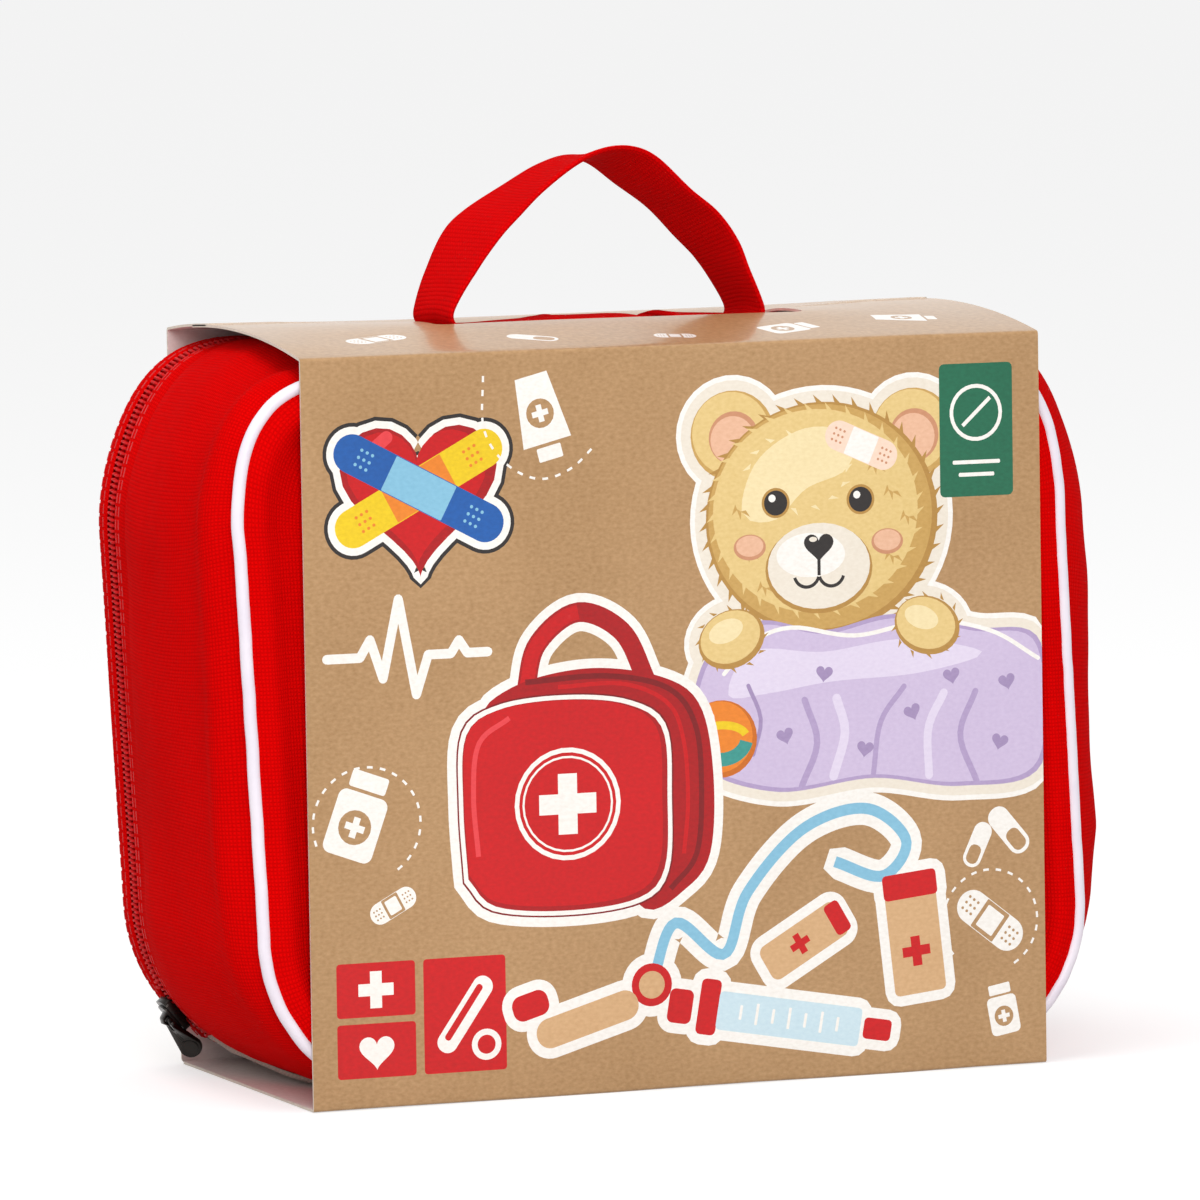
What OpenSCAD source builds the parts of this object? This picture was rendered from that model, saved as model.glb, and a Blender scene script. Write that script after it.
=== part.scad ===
// Toy doctor case: a soft zipped case with a webbing handle, held in a printed board sleeve.
// Millimetres. +Z is up, the front looks towards -Y, and the origin is the centre of the base.

/* [Case] */
// Width across the front and back seams
seam_w = 202; // [170:1:240]
// Height between the bottom and the top of the seams
seam_h = 165; // [130:1:190]
// Depth from the front seam to the back seam
seam_d = 89; // [80:1:120]
// Radius of the seams' corners
corner_r = 36; // [24:1:50]
// How far the sides swell past the seams at mid-depth
side_swell = 8; // [0:0.5:10]
// How far the top swells above the seams at mid-depth
top_swell = 4.6; // [2:0.2:8]

/* [Fabric layers] */
// Thickness of the outer fabric on the gusset
fabric_t = 1; // [0.6:0.1:1.2]
// Thickness of the outer fabric on the front and back panels
panel_t = 0.7; // [0.4:0.1:1]
// Thickness of the foam in the gusset
gusset_foam_t = 2; // [1:0.2:4]
// Thickness of the foam in the front and back panels
panel_foam_t = 2.5; // [1:0.1:2.8]
// Thickness of the lining
lining_t = 0.6; // [0.3:0.1:1]
// Diameter of the piping cord
piping_d = 3; // [2:0.2:3.2]
// Thickness of the stiff board on the case's floor
floor_board_t = 1.5; // [1:0.1:3]
// Gap that is left between one layer and the next
layer_gap = 0.1; // [0.05:0.01:0.2]

/* [Zip] */
// Distance from the zip's centre line to the back seam
zip_inset = 11.5; // [10:0.5:16]
// Width of the strip that is left open between the two fabric edges
zip_slot = 6; // [6:0.5:8]
// Width of one tape
tape_w = 6.3; // [5:0.1:8]
// Thickness of a tape
tape_t = 0.55; // [0.4:0.05:0.8]
// Width of one row of teeth
teeth_w = 1.1; // [0.8:0.1:1.2]
// Height of a row of teeth
teeth_h = 1.2; // [0.8:0.1:1.3]
// Gap between the two rows, which the slider's post runs in
teeth_gap = 1.4; // [1.2:0.1:1.8]
// Distance from one tooth to the next along a row
tooth_pitch = 3; // [2.5:0.5:4]
// How far the slider rests from the zip's lower end, round the corner in degrees
slider_rest = 18; // [18:1:24]
// Length of the slider
slider_l = 9; // [7:0.5:10]
// Length of the pull, from its pivot to its tip
pull_l = 12; // [10:0.5:12]

/* [Handle] */
// Width of the webbing
webbing_w = 25; // [20:1:30]
// Thickness of the webbing
webbing_t = 1.8; // [1.2:0.1:2.4]
// Distance between the middles of the handle's two feet
handle_span = 80; // [60:1:90]
// Height of the handle's crest above its sewn feet
handle_h = 35; // [32:1:50]
// Length of each sewn foot
foot_l = 26; // [18:1:30]

/* [Sleeve] */
// Width of the board sleeve
sleeve_w = 182; // [140:1:190]
// Thickness of the board
board_t = 0.6; // [0.4:0.05:0.8]
// Height of the arch in the sleeve's top
arch_h = 4; // [3:0.2:6]
// Width of the handle's window in the sleeve's top
window_w = 92; // [70:1:110]
// Depth of that window
window_d = 31; // [24:1:36]
// Depth of the overlap behind the window, where the two top flaps meet
flap_overlap = 12; // [8:1:14]

/* [Hidden] */

fabric_red = [0.80, 0.03, 0.04];
binding_red = [0.62, 0.02, 0.03];
piping_white = [0.95, 0.94, 0.96];
foam_white = [0.90, 0.90, 0.88];
lining_red = [0.70, 0.05, 0.06];
tape_red = [0.55, 0.02, 0.03];
tab_grey = [0.47, 0.40, 0.37];
metal_dark = [0.22, 0.21, 0.20];
board_brown = [0.73, 0.59, 0.43];

round_fn = 96;        // fragments of turned and swept round forms
arch_fn = 720;        // fragments of the sleeve's shallow arch
corner_steps = 9;     // steps round one corner of a swelling form
piping_r = piping_d / 2;
seam_half = seam_d / 2;

// The case stands on the sleeve's bottom board, and its seams lie one piping radius above that.
board_gap = 0.2;
case_z = board_t + board_gap;
seam_low = case_z + piping_r;
seam_top = seam_low + seam_h;
panel_proud = 0.5;                              // panels past the piping, front and back
panel_y = seam_half + piping_r + panel_proud;   // outer face of the front and back panels
swell_power = 2.4;
zip_swell = 0.72;                               // share of the swell that is left across the zip
flat_low = 2.5;                                 // the floor is pressed flat this much sooner

// The zip's tapes hold a band of the gusset straight, from flat_from to flat_to.
zip_y = seam_half - zip_inset;
flat_margin = 0.5;
flat_from = zip_y - teeth_gap / 2 - tape_w - flat_margin;
flat_to = zip_y + teeth_gap / 2 + tape_w + flat_margin / 2;

// Share of the full swell at depth y: nothing at the seams, all of it half-way between them.
function swell(y) =
    y < 0 ? 1 - pow(min(-y / seam_half, 1), swell_power) :
    y < flat_from ? 1 - (1 - zip_swell) * pow(y / flat_from, swell_power) :
    y < flat_to ? zip_swell :
    zip_swell * (1 - pow((min(y, seam_half) - flat_to) / (seam_half - flat_to), 2));
function half_w(y) = seam_w / 2 + side_swell * swell(y);
function top_z(y) = seam_top + top_swell * swell(y);
function low_z(y) = seam_low - piping_r * min(1, flat_low * swell(y));
function corner_at(y) = corner_r + side_swell * swell(y) / 2;

// One turn round the case at depth y, counter-clockwise from the right, lying `inset` inside the skin.
function arc_points(cx, cz, r, from, y) =
    [for (i = [0:corner_steps]) let (a = from + 90 * i / corner_steps) [cx + r * cos(a), y, cz + r * sin(a)]];
function turn(y, inset, at = undef) =
    let (
        s = is_undef(at) ? y : at,
        r = corner_at(s) - inset,
        x = half_w(s) - corner_at(s),
        zt = top_z(s) - corner_at(s),
        zb = low_z(s) + corner_at(s)
    )
    concat(
        arc_points(x, zt, r, 0, y), arc_points(-x, zt, r, 90, y),
        arc_points(-x, zb, r, 180, y), arc_points(x, zb, r, 270, y)
    );
turn_points = 4 * (corner_steps + 1);

// A closed skin through a list of turns. As a ring the last turn joins the first; otherwise both
// ends are capped.
module skin(turns, ring = false) {
    m = len(turns);
    n = turn_points;
    spans = ring ? m : m - 1;
    sides = [
        for (i = [0:spans - 1], j = [0:n - 1])
            let (k = (i + 1) % m, next = (j + 1) % n)
            each [[i * n + j, i * n + next, k * n + next], [i * n + j, k * n + next, k * n + j]]
    ];
    caps = ring ? [] : [[for (j = [n - 1:-1:0]) j], [for (j = [0:n - 1]) (m - 1) * n + j]];
    polyhedron(points = [for (t = turns) each t], faces = concat(sides, caps), convexity = 6);
}

// A layer of the gusset through a list of depths, `inset` inside its face.
module gusset_layer(depths, inset, thick) {
    last = len(depths) - 1;
    skin(ring = true, turns = concat(
        [for (y = depths) turn(y, inset)],
        [for (i = [last:-1:0]) turn(depths[i], inset + thick)]
    ));
}

// A rectangle with round corners, `half` to each side of the middle and from `low` to `top`.
module rounded(half, low, top, r) {
    translate([-half + r, low]) square([2 * (half - r), top - low]);
    translate([-half, low + r]) square([2 * half, top - low - 2 * r]);
    for (sx = [-1, 1], z = [low + r, top - r]) translate([sx * (half - r), z]) circle(r, $fn = round_fn);
}
// Stands a flat drawing up in the XZ plane and gives it depth, from y back to y + thick.
module upright(y, thick) {
    translate([0, y + thick, 0]) rotate([90, 0, 0]) linear_extrude(thick) children();
}
// A flat layer, cut `inset` inside the seams and `low_inset` above the lower one.
module flat_layer(y, thick, inset, low_inset) {
    upright(y, thick)
        rounded(seam_w / 2 - inset, seam_low + low_inset, seam_top - inset, corner_r - inset);
}
// A band that follows the seams, its outer face `out` outside them.
module seam_band(y, w, out, thick) {
    upright(y, w) difference() {
        rounded(seam_w / 2 + out, seam_low - out, seam_top + out, corner_r + out);
        in = out - thick;
        rounded(seam_w / 2 + in, seam_low - in, seam_top + in, corner_r + in);
    }
}
// A round cord that follows the seams at depth y.
module seam_cord(y) {
    x = seam_w / 2 - corner_r;
    low = seam_low + corner_r;
    top = seam_top - corner_r;
    for (c = [[x, top, 0], [-x, top, 90], [-x, low, 180], [x, low, 270]])
        translate([c[0], y, c[1]]) rotate([90, -c[2], 0])
            rotate_extrude(angle = 90, $fn = round_fn) translate([corner_r, 0]) circle(piping_r, $fn = 32);
    for (s = [-1, 1]) translate([s * seam_w / 2, y, low]) cylinder(h = top - low, r = piping_r, $fn = 32);
    for (z = [seam_low, seam_top])
        translate([-x, y, z]) rotate([0, 90, 0]) cylinder(h = 2 * x, r = piping_r, $fn = 32);
}

/* Places of the hinge, the zip and the sleeve */
cover_y = seam_half - zip_inset + zip_slot / 2;     // front edge of the back gusset
tub_y = cover_y - zip_slot;                         // back edge of the main gusset
gusset_front_y = -(seam_half - piping_r - layer_gap);
layer_setback = 0.6;            // foam and lining start this far behind the gusset's front edge
layer_front_y = gusset_front_y + layer_setback;
// Depths at which the gusset's curve is drawn, from behind its front edge to the zip's flat band
bend_depths = concat([for (share = [-0.865, -0.68, -0.4, 0, 0.34]) share * seam_half], flat_from);
foam_inset = fabric_t + layer_gap / 2;
lining_inset = foam_inset + gusset_foam_t + layer_gap / 2;

bead_r = 1.8;                   // rolled fabric edge that the cover turns on
wrap_gap = 0.3;
wrap_t = 0.8;
panel_puff = 0.6;               // how far the panels' edges turn back to the piping
hinge_y = panel_y - panel_t - panel_puff - layer_gap - bead_r - wrap_gap - wrap_t;
hinge_rise = 5.4;
hinge_z = case_z + hinge_rise;
cover_low = hinge_z + 1;        // nothing of the cover but its wrap and panel reaches lower

module above_hinge() {
    intersection() {
        children();
        translate([-seam_w, -seam_d, cover_low]) cube([2 * seam_w, 2 * seam_d, 2 * seam_h]);
    }
}

/* Front of the case */
// Rounded edge of a panel: each step's inset from the seam, and its share of the turn back
panel_edge = [[9, 0], [4, 0.25], [0.9, 1]];
edge_taper = 0.5;
function edge_turn(side, e, depth, inset) =
    turn(side * (panel_y - depth - e[1] * panel_puff), e[0] + inset, seam_half);
module puffed_panel(side) {
    outer = [for (e = panel_edge) edge_turn(side, e, 0, 0)];
    inner = [for (i = [len(panel_edge) - 1:-1:0]) edge_turn(side, panel_edge[i], panel_t, edge_taper)];
    turns = concat(outer, inner);
    skin(side < 0 ? turns : [for (i = [len(turns) - 1:-1:0]) turns[i]]);
}
panel_back_y = panel_y - panel_t - layer_gap;       // inner limit of a panel's fabric
foam_back_y = panel_back_y - panel_foam_t;
lining_back_y = foam_back_y - layer_gap - lining_t;

module front_panel() color(fabric_red) puffed_panel(-1);
foam_edge = 3.2;                                    // from the seam to the foam's edge
lining_edge = 5;                                    // from the seam to the lining's edge
module front_foam() color(foam_white)
    flat_layer(-panel_back_y + panel_puff, panel_foam_t - panel_puff, foam_edge, foam_edge);
module front_lining() color(lining_red)
    flat_layer(-foam_back_y + layer_gap, lining_t, lining_edge, lining_edge);

// White print on the middle of the front: two rings round a cross
badge_film = 0.15;
badge_rings = [[25, 23.4], [22.2, 21.4]];
cross_l = 30;
cross_w = 9.5;
module badge_print() color(piping_white)
    translate([0, -panel_y - badge_film / 8, seam_low + seam_h / 2]) rotate([90, 0, 0])
    linear_extrude(badge_film) {
        for (r = badge_rings) difference() {
            circle(r[0], $fn = round_fn);
            circle(r[1], $fn = round_fn);
        }
        square([cross_l, cross_w], center = true);
        square([cross_w, cross_l], center = true);
    }
binding_t = 1.1;
binding_w = panel_back_y - panel_puff + gusset_front_y;
module seam_binding(y) seam_band(y, binding_w, -piping_r - layer_gap, binding_t);
module front_piping() color(piping_white) seam_cord(-seam_half);
module front_seam_binding() color(binding_red) seam_binding(gusset_front_y - binding_w);

/* Gusset, the deep part of the case */
module gusset() color(fabric_red) gusset_layer(concat(gusset_front_y, bend_depths, tub_y), 0, fabric_t);
module gusset_foam() color(foam_white)
    gusset_layer(concat(layer_front_y, bend_depths), foam_inset, gusset_foam_t);
module gusset_lining() color(lining_red)
    gusset_layer(concat(layer_front_y, bend_depths), lining_inset, lining_t);
floor_edge = 4;                 // from the lining to the stiff board's front, back and end edges
module floor_board() color(foam_white) {
    half = seam_w / 2 - corner_r - floor_edge;
    from = layer_front_y + floor_edge;
    z = low_z(from) + lining_inset + lining_t + layer_gap;
    translate([-half, from, z]) cube([2 * half, flat_from - floor_edge - from, floor_board_t]);
}

// The gusset's floor runs on to the back and ends in a rolled edge, which the cover turns on.
fold_t = 1.2;
fold_slope = 5;                 // length of the slope from the floor up to the rolled edge
hinge_l = 2 * (seam_w / 2 - corner_r);
module hinge_fold() color(fabric_red) {
    low = case_z + layer_gap;
    from = tub_y + layer_gap;
    neck = bead_r * 0.75;
    translate([-hinge_l / 2, 0, 0]) rotate([90, 0, 90]) linear_extrude(hinge_l) {
        translate([hinge_y, hinge_z]) circle(bead_r, $fn = round_fn);
        polygon([
            [from, low], [hinge_y - fold_slope, low], [hinge_y - neck, hinge_z - neck],
            [hinge_y - neck, hinge_z], [hinge_y - fold_slope - fold_t, low + fold_t], [from, low + fold_t]
        ]);
    }
}
// The back gusset's lower edge wraps the rolled edge, and is open to the front and below.
wrap_end = 2;                   // wrap's length short of the fold's
module hinge_wrap() color(fabric_red) {
    l = hinge_l - wrap_end;
    out = bead_r + wrap_gap + wrap_t;
    translate([-l / 2, hinge_y, hinge_z]) rotate([90, 0, 90]) linear_extrude(l) difference() {
        circle(out, $fn = round_fn);
        circle(bead_r + wrap_gap, $fn = round_fn);
        translate([-2 * out, -2 * out]) square([2 * out, 2 * out + wrap_t / 2]);
        translate([-wrap_t, -2 * out]) square([3 * out, 2 * out - wrap_t]);
    }
}

/* Handle */
foot_z = top_z(0) + layer_gap / 2;              // underside of the sewn feet
foot_top = foot_z + webbing_t;
handle_gap = 0.3;
handle_axis_z = foot_top + handle_gap + webbing_w / 2;
handle_power = 1.7;
handle_steps = 28;
// A point on a lifted arch between the feet, `out` outside its middle line.
function arch_point(a, out) =
    let (
        half = handle_span / 2 + out,
        rise = handle_h - webbing_t / 2 + out,
        c = cos(a),
        s = sin(a)
    )
    [sign(c) * half * pow(abs(c), 2 / handle_power), foot_top + rise * pow(abs(s), 2 / handle_power)];
module handle_foot(side) {
    x0 = handle_span / 2 - foot_l;
    translate([side > 0 ? x0 : -x0 - foot_l, -webbing_w / 2, foot_z]) cube([foot_l, webbing_w, webbing_t]);
}
module handle_foot_left() color(fabric_red) handle_foot(-1);
module handle_foot_right() color(fabric_red) handle_foot(1);
backing_t = 0.8;                                // strip sewn inside under the feet
backing_gap = 0.6;
module handle_backing() color(lining_red) {
    z = top_z(0) - lining_inset - lining_t - backing_gap - backing_t;
    translate([-handle_span / 2, -webbing_w / 2, z]) cube([handle_span, webbing_w, backing_t]);
}
module handle_strap() color(fabric_red) {
    intersection() {
        translate([0, webbing_w / 2, 0]) rotate([90, 0, 0]) linear_extrude(webbing_w)
            polygon(concat(
                [for (i = [0:handle_steps]) arch_point(180 * i / handle_steps, webbing_t / 2)],
                [for (i = [handle_steps:-1:0]) arch_point(180 * i / handle_steps, -webbing_t / 2)]
            ));
        rotate([90, 0, 90]) linear_extrude(2 * handle_span, center = true) {
            translate([0, handle_axis_z]) circle(webbing_w / 2, $fn = round_fn);
            translate([-webbing_w / 2, handle_axis_z]) square([webbing_w, handle_h]);
        }
    }
}

/* Zip */
zip_half = half_w(zip_y);
zip_r = corner_at(zip_y);
zip_top = top_z(zip_y);
zip_low = low_z(zip_y);
tape_under = 0.35;                              // gap between the fabric and the tape under it
tape_top = -fabric_t - tape_under;              // distance of the tape's face outside the skin
zip_x = zip_half - zip_r;                       // centres of the zip's corners
zip_z = zip_low + zip_r;

// Folded tabs close the zip's two ends, from just below the cover down to the floor's straight run.
tab_w = 9.5;
tab_t = 0.9;
tab_drop = 0.3;
tab_at = 270 - acos((zip_z - cover_low + tab_drop) / (zip_r - tab_t));
tab_stop = 269;
zip_end_at = floor(tab_at) - 1;                 // the front tape's end, in degrees from the right
slider_at = zip_end_at - slider_rest;           // place of the resting slider
slider_half_angle = asin(slider_l / 2 / zip_r);
back_end_at = slider_at - slider_half_angle - 1;

// A band along the zip's path, open at the bottom from the angle `until` on each side.
module zip_band(y, w, out, thick, until) {
    far = 3 * zip_r;
    in = out - thick;
    upright(y, w) difference() {
        rounded(zip_half + out, zip_low - out, zip_top + out, zip_r + out);
        rounded(zip_half + in, zip_low - in, zip_top + in, zip_r + in);
        polygon([
            [-zip_x, zip_z], [-zip_x + far * cos(until), zip_z + far * sin(until)],
            [zip_x - far * cos(until), zip_z + far * sin(until)], [zip_x, zip_z]
        ]);
    }
}
module tape(y, until) zip_band(y, tape_w, tape_top, tape_t, until);

// Teeth stand on a low rib all along the path: up the sides, round the corners and across the top.
rib_h = 0.4;
tooth_l = 1.5;
tooth_reach = 4 * teeth_h;                      // across the path, for cutting only
side_top = zip_top - zip_r;
module tooth_marks(shift, until) {
    turn = 180 * tooth_pitch / (PI * zip_r);
    for (z = [zip_z + shift : tooth_pitch : side_top])
        translate([0, z]) square([2 * zip_half + tooth_reach, tooth_l], center = true);
    for (x = [shift - zip_x : tooth_pitch : zip_x])
        translate([x, zip_top]) square([tooth_l, tooth_reach], center = true);
    for (m = [0, 1]) mirror([m, 0]) {
        translate([-zip_x, side_top]) tooth_fan(90 + turn / 2, turn, 180 - turn / 2);
        translate([-zip_x, zip_z]) tooth_fan(180 + turn / 2, turn, until - turn / 2);
    }
}
module tooth_fan(from, turn, to)
    for (a = [from : turn : to]) rotate(a)
        translate([zip_r, 0]) square([tooth_reach, tooth_l], center = true);
module teeth(y, shift, until) {
    zip_band(y, teeth_w, tape_top + rib_h, rib_h, until);
    intersection() {
        zip_band(y, teeth_w, tape_top + teeth_h, teeth_h, until);
        upright(y, teeth_w) tooth_marks(shift, until);
    }
}
module zip_tape_front() color(tape_red) tape(zip_y - teeth_gap / 2 - tape_w, zip_end_at);
module zip_teeth_front() color(tape_red) teeth(zip_y - teeth_gap / 2 - teeth_w, 0, zip_end_at);
module zip_tape_back() color(tape_red) tape(zip_y + teeth_gap / 2, back_end_at);
module zip_teeth_back() color(tape_red) teeth(zip_y + teeth_gap / 2, tooth_pitch / 2, back_end_at);

// Places its children at an angle round the lower left corner: x outwards, y along the depth and
// z along the zip towards its lower end.
module at_zip(angle) {
    translate([-zip_x, zip_y, zip_z]) rotate([0, -angle, 0]) translate([zip_r, 0, 0]) children();
}
module zip_end_tab() {
    translate([-zip_x, tub_y + tab_w + 2 * layer_gap, zip_z]) rotate([90, -tab_at, 0])
        rotate_extrude(angle = tab_stop - tab_at, $fn = round_fn)
            translate([zip_r - tab_t, 0]) square([tab_t, tab_w]);
}
module zip_end_tab_left() color(tab_grey) zip_end_tab();
module zip_end_tab_right() color(tab_grey) mirror([1, 0, 0]) zip_end_tab();
stop_l = 2;
stop_h = 1.2;
stop_play = 0.1;                                // between the stop and the rows of teeth
stop_at = zip_end_at - 2.5;
module zip_stops() color(metal_dark) {
    w = teeth_gap - 2 * stop_play;
    for (m = [0, 1]) mirror([m, 0, 0])
        at_zip(stop_at) translate([tape_top, -w / 2, -stop_l / 2]) cube([stop_h, w, stop_l]);
}

/* Slider and pull */
plate_gap = 0.5;                                // slider's outer plate above the skin
plate_t = 1.2;
plate_w = 6.8;
head_l = 1.5;                                   // bevel at the head, and taper towards the tail
head_in = 1;
tail_l = 3.5;
tail_in = 0.8;
post_gap = 0.2;                                 // slider to the teeth and the tape
post_l = 3;
inner_w = 5.2;                                  // inner plate, under the tapes
inner_t = 1.1;
flange_t = 0.7;
pivot_out = plate_gap + plate_t + 1.5;          // pull's pivot outside the skin
pin_r = 0.6;
pin_gap = 0.3;
bail_w = 2.2;
bail_wall = 0.7;
bail_foot = 2.2;                                // half the length of the bail's foot
pull_t = 1.2;
pull_w = 5.6;
pull_gap = 0.35;                                // pull's arms to the bail
pull_slot = 3.2;
pull_hole_r = 1.3;
module zip_slider() color(metal_dark) at_zip(slider_at) {
    half = slider_l / 2;
    side = plate_w / 2;
    translate([plate_gap, 0, 0]) rotate([90, 0, 90]) linear_extrude(plate_t)
        polygon([
            [-side, head_l - half], [head_in - side, -half], [side - head_in, -half],
            [side, head_l - half], [side, half - tail_l], [side - tail_in, half],
            [tail_in - side, half], [-side, half - tail_l]
        ]);
    // Post between the rows of teeth, joined to the inner plate
    post_w = teeth_gap - 2 * post_gap;
    inner_top = tape_top - tape_t - 3 * post_gap;
    translate([inner_top - inner_t / 2, -post_w / 2, -half + head_l / 2])
        cube([plate_gap + plate_t / 2 - inner_top + inner_t / 2, post_w, post_l]);
    translate([inner_top - inner_t, -inner_w / 2, -half + post_gap])
        cube([inner_t, inner_w, slider_l - 2 * post_gap]);
    // Flanges outside the rows of teeth
    flange_y = teeth_gap / 2 + teeth_w + post_gap;
    for (s = [-1, 1])
        translate([tape_top + post_gap, s * (flange_y + flange_t / 2) - flange_t / 2, head_l - half])
            cube([plate_gap + plate_t / 2 - tape_top - post_gap, flange_t, slider_l - head_l - tail_l]);
    // Bail that the pull's pin runs through
    translate([0, bail_w / 2, 0]) rotate([90, 0, 0]) linear_extrude(bail_w) difference() {
        union() {
            translate([pivot_out, 0]) circle(pin_r + pin_gap + bail_wall, $fn = round_fn);
            translate([plate_gap + plate_t / 2, -bail_foot]) square([plate_t, 2 * bail_foot]);
        }
        translate([pivot_out, 0]) circle(pin_r + pin_gap, $fn = round_fn);
    }
}
module zip_pull() color(metal_dark) at_zip(slider_at) translate([pivot_out, 0, 0]) {
    tip_r = pull_w / 2;
    slot_w = bail_w + 2 * pull_gap;
    rotate([90, 0, 0]) cylinder(h = pull_w, r = pin_r, center = true, $fn = round_fn);
    translate([-pull_t / 2, 0, 0]) rotate([90, 0, 90]) linear_extrude(pull_t) difference() {
        union() {
            translate([-pull_w / 2, -pin_r]) square([pull_w, pull_l - tip_r + pin_r]);
            translate([0, pull_l - tip_r]) circle(tip_r, $fn = round_fn);
        }
        // Slot round the bail, and the hole in the tip
        translate([-slot_w / 2, -2 * pin_r]) square([slot_w, 2 * pin_r + pull_slot]);
        translate([0, pull_l - tip_r]) circle(pull_hole_r, $fn = round_fn);
    }
}

/* Cover, the back of the case */
back_inset = cover_low - seam_low + 2;              // from the lower seam to the foam and lining
module back_panel() color(fabric_red) puffed_panel(1);
module back_foam() color(foam_white)
    flat_layer(panel_back_y - panel_foam_t, panel_foam_t - panel_puff, foam_edge, back_inset);
module back_lining() color(lining_red) flat_layer(lining_back_y, lining_t, lining_edge, back_inset);
module back_piping() color(fabric_red) above_hinge() seam_cord(seam_half);
module back_seam_binding() color(binding_red) above_hinge() seam_binding(-gusset_front_y);
module back_gusset() color(fabric_red)
    above_hinge() gusset_layer([cover_y, flat_to, -gusset_front_y], 0, fabric_t);

/* Board sleeve */
sleeve_gap = 0.4;                               // case to board
crease_gap = 0.1;
sleeve_y = panel_y + sleeve_gap;                // inner face of the front and back boards
sleeve_out = sleeve_y + board_t;
sleeve_top = seam_top + piping_r + 1;           // top creases
arch_r = (pow(sleeve_out, 2) + pow(arch_h, 2)) / (2 * arch_h);
arch_z = sleeve_top + arch_h - arch_r;          // centre of the arch
module arch_board(out, from, to) {
    translate([-sleeve_w / 2, 0, 0]) rotate([90, 0, 90]) linear_extrude(sleeve_w) intersection() {
        translate([0, arch_z]) difference() {
            circle(arch_r + out, $fn = arch_fn);
            circle(arch_r + out - board_t, $fn = arch_fn);
        }
        translate([from, sleeve_top - arch_h]) square([to - from, 3 * arch_h]);
    }
}
module sleeve_front_panel() color(board_brown)
    translate([-sleeve_w / 2, -sleeve_out, board_t])
        cube([sleeve_w, board_t, sleeve_top - 2 * board_t - crease_gap]);
module sleeve_bottom_panel() color(board_brown)
    translate([-sleeve_w / 2, -sleeve_out, 0]) cube([sleeve_w, sleeve_out + sleeve_y - crease_gap, board_t]);
glue_edge = 2;                                  // from the window to the back flap's edge
module sleeve_top_flap() color(board_brown) difference() {
    arch_board(0, -sleeve_out, window_d / 2 + flap_overlap + glue_edge);
    translate([-window_w / 2, -window_d / 2, sleeve_top - arch_h]) cube([window_w, window_d, 3 * arch_h]);
}
sleeve_axis_y = sleeve_y + board_t / 2;
sleeve_axis_z = board_t / 2;
module sleeve_back_panel() color(board_brown) {
    translate([-sleeve_w / 2, 0, 0]) rotate([90, 0, 90]) linear_extrude(sleeve_w) {
        translate([sleeve_axis_y, sleeve_axis_z]) circle(board_t / 2, $fn = round_fn);
        translate([sleeve_y, sleeve_axis_z]) square([board_t, sleeve_top - sleeve_axis_z - board_t]);
    }
}
flap_gap = 0.2;                                 // between the two flaps
module sleeve_back_flap() color(board_brown)
    arch_board(board_t + flap_gap, window_d / 2 + glue_edge, sleeve_out);

front_panel();
front_foam();
front_lining();
badge_print();
front_piping();
front_seam_binding();
gusset();
gusset_foam();
gusset_lining();
floor_board();
hinge_fold();
handle_foot_left();
handle_foot_right();
handle_backing();
handle_strap();
zip_tape_front();
zip_teeth_front();
zip_end_tab_left();
zip_end_tab_right();
zip_stops();
sleeve_front_panel();
sleeve_bottom_panel();
sleeve_top_flap();
back_panel();
back_foam();
back_lining();
back_piping();
back_seam_binding();
back_gusset();
hinge_wrap();
zip_tape_back();
zip_teeth_back();
zip_slider();
zip_pull();
sleeve_back_panel();
sleeve_back_flap();
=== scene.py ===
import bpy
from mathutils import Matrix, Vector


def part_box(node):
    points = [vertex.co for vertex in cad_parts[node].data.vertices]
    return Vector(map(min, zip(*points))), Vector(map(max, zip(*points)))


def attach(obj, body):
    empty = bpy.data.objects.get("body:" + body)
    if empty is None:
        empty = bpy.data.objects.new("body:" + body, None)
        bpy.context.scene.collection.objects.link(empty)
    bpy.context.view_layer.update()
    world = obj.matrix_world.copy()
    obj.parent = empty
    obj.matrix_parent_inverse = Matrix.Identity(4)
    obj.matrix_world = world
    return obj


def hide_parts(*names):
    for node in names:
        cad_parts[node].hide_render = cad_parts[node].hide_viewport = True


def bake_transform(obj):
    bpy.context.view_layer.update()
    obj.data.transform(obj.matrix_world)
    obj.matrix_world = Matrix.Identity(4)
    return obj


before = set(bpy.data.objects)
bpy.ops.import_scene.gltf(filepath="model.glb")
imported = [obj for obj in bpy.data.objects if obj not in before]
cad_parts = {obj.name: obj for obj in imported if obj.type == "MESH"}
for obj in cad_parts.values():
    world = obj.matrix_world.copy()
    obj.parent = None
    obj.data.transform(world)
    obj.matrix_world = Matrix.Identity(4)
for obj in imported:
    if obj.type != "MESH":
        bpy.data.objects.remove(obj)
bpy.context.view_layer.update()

import math

import bpy
import numpy as np
from mathutils import Matrix, Vector, noise
from mathutils.geometry import delaunay_2d_cdt

MM = 0.001

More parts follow.
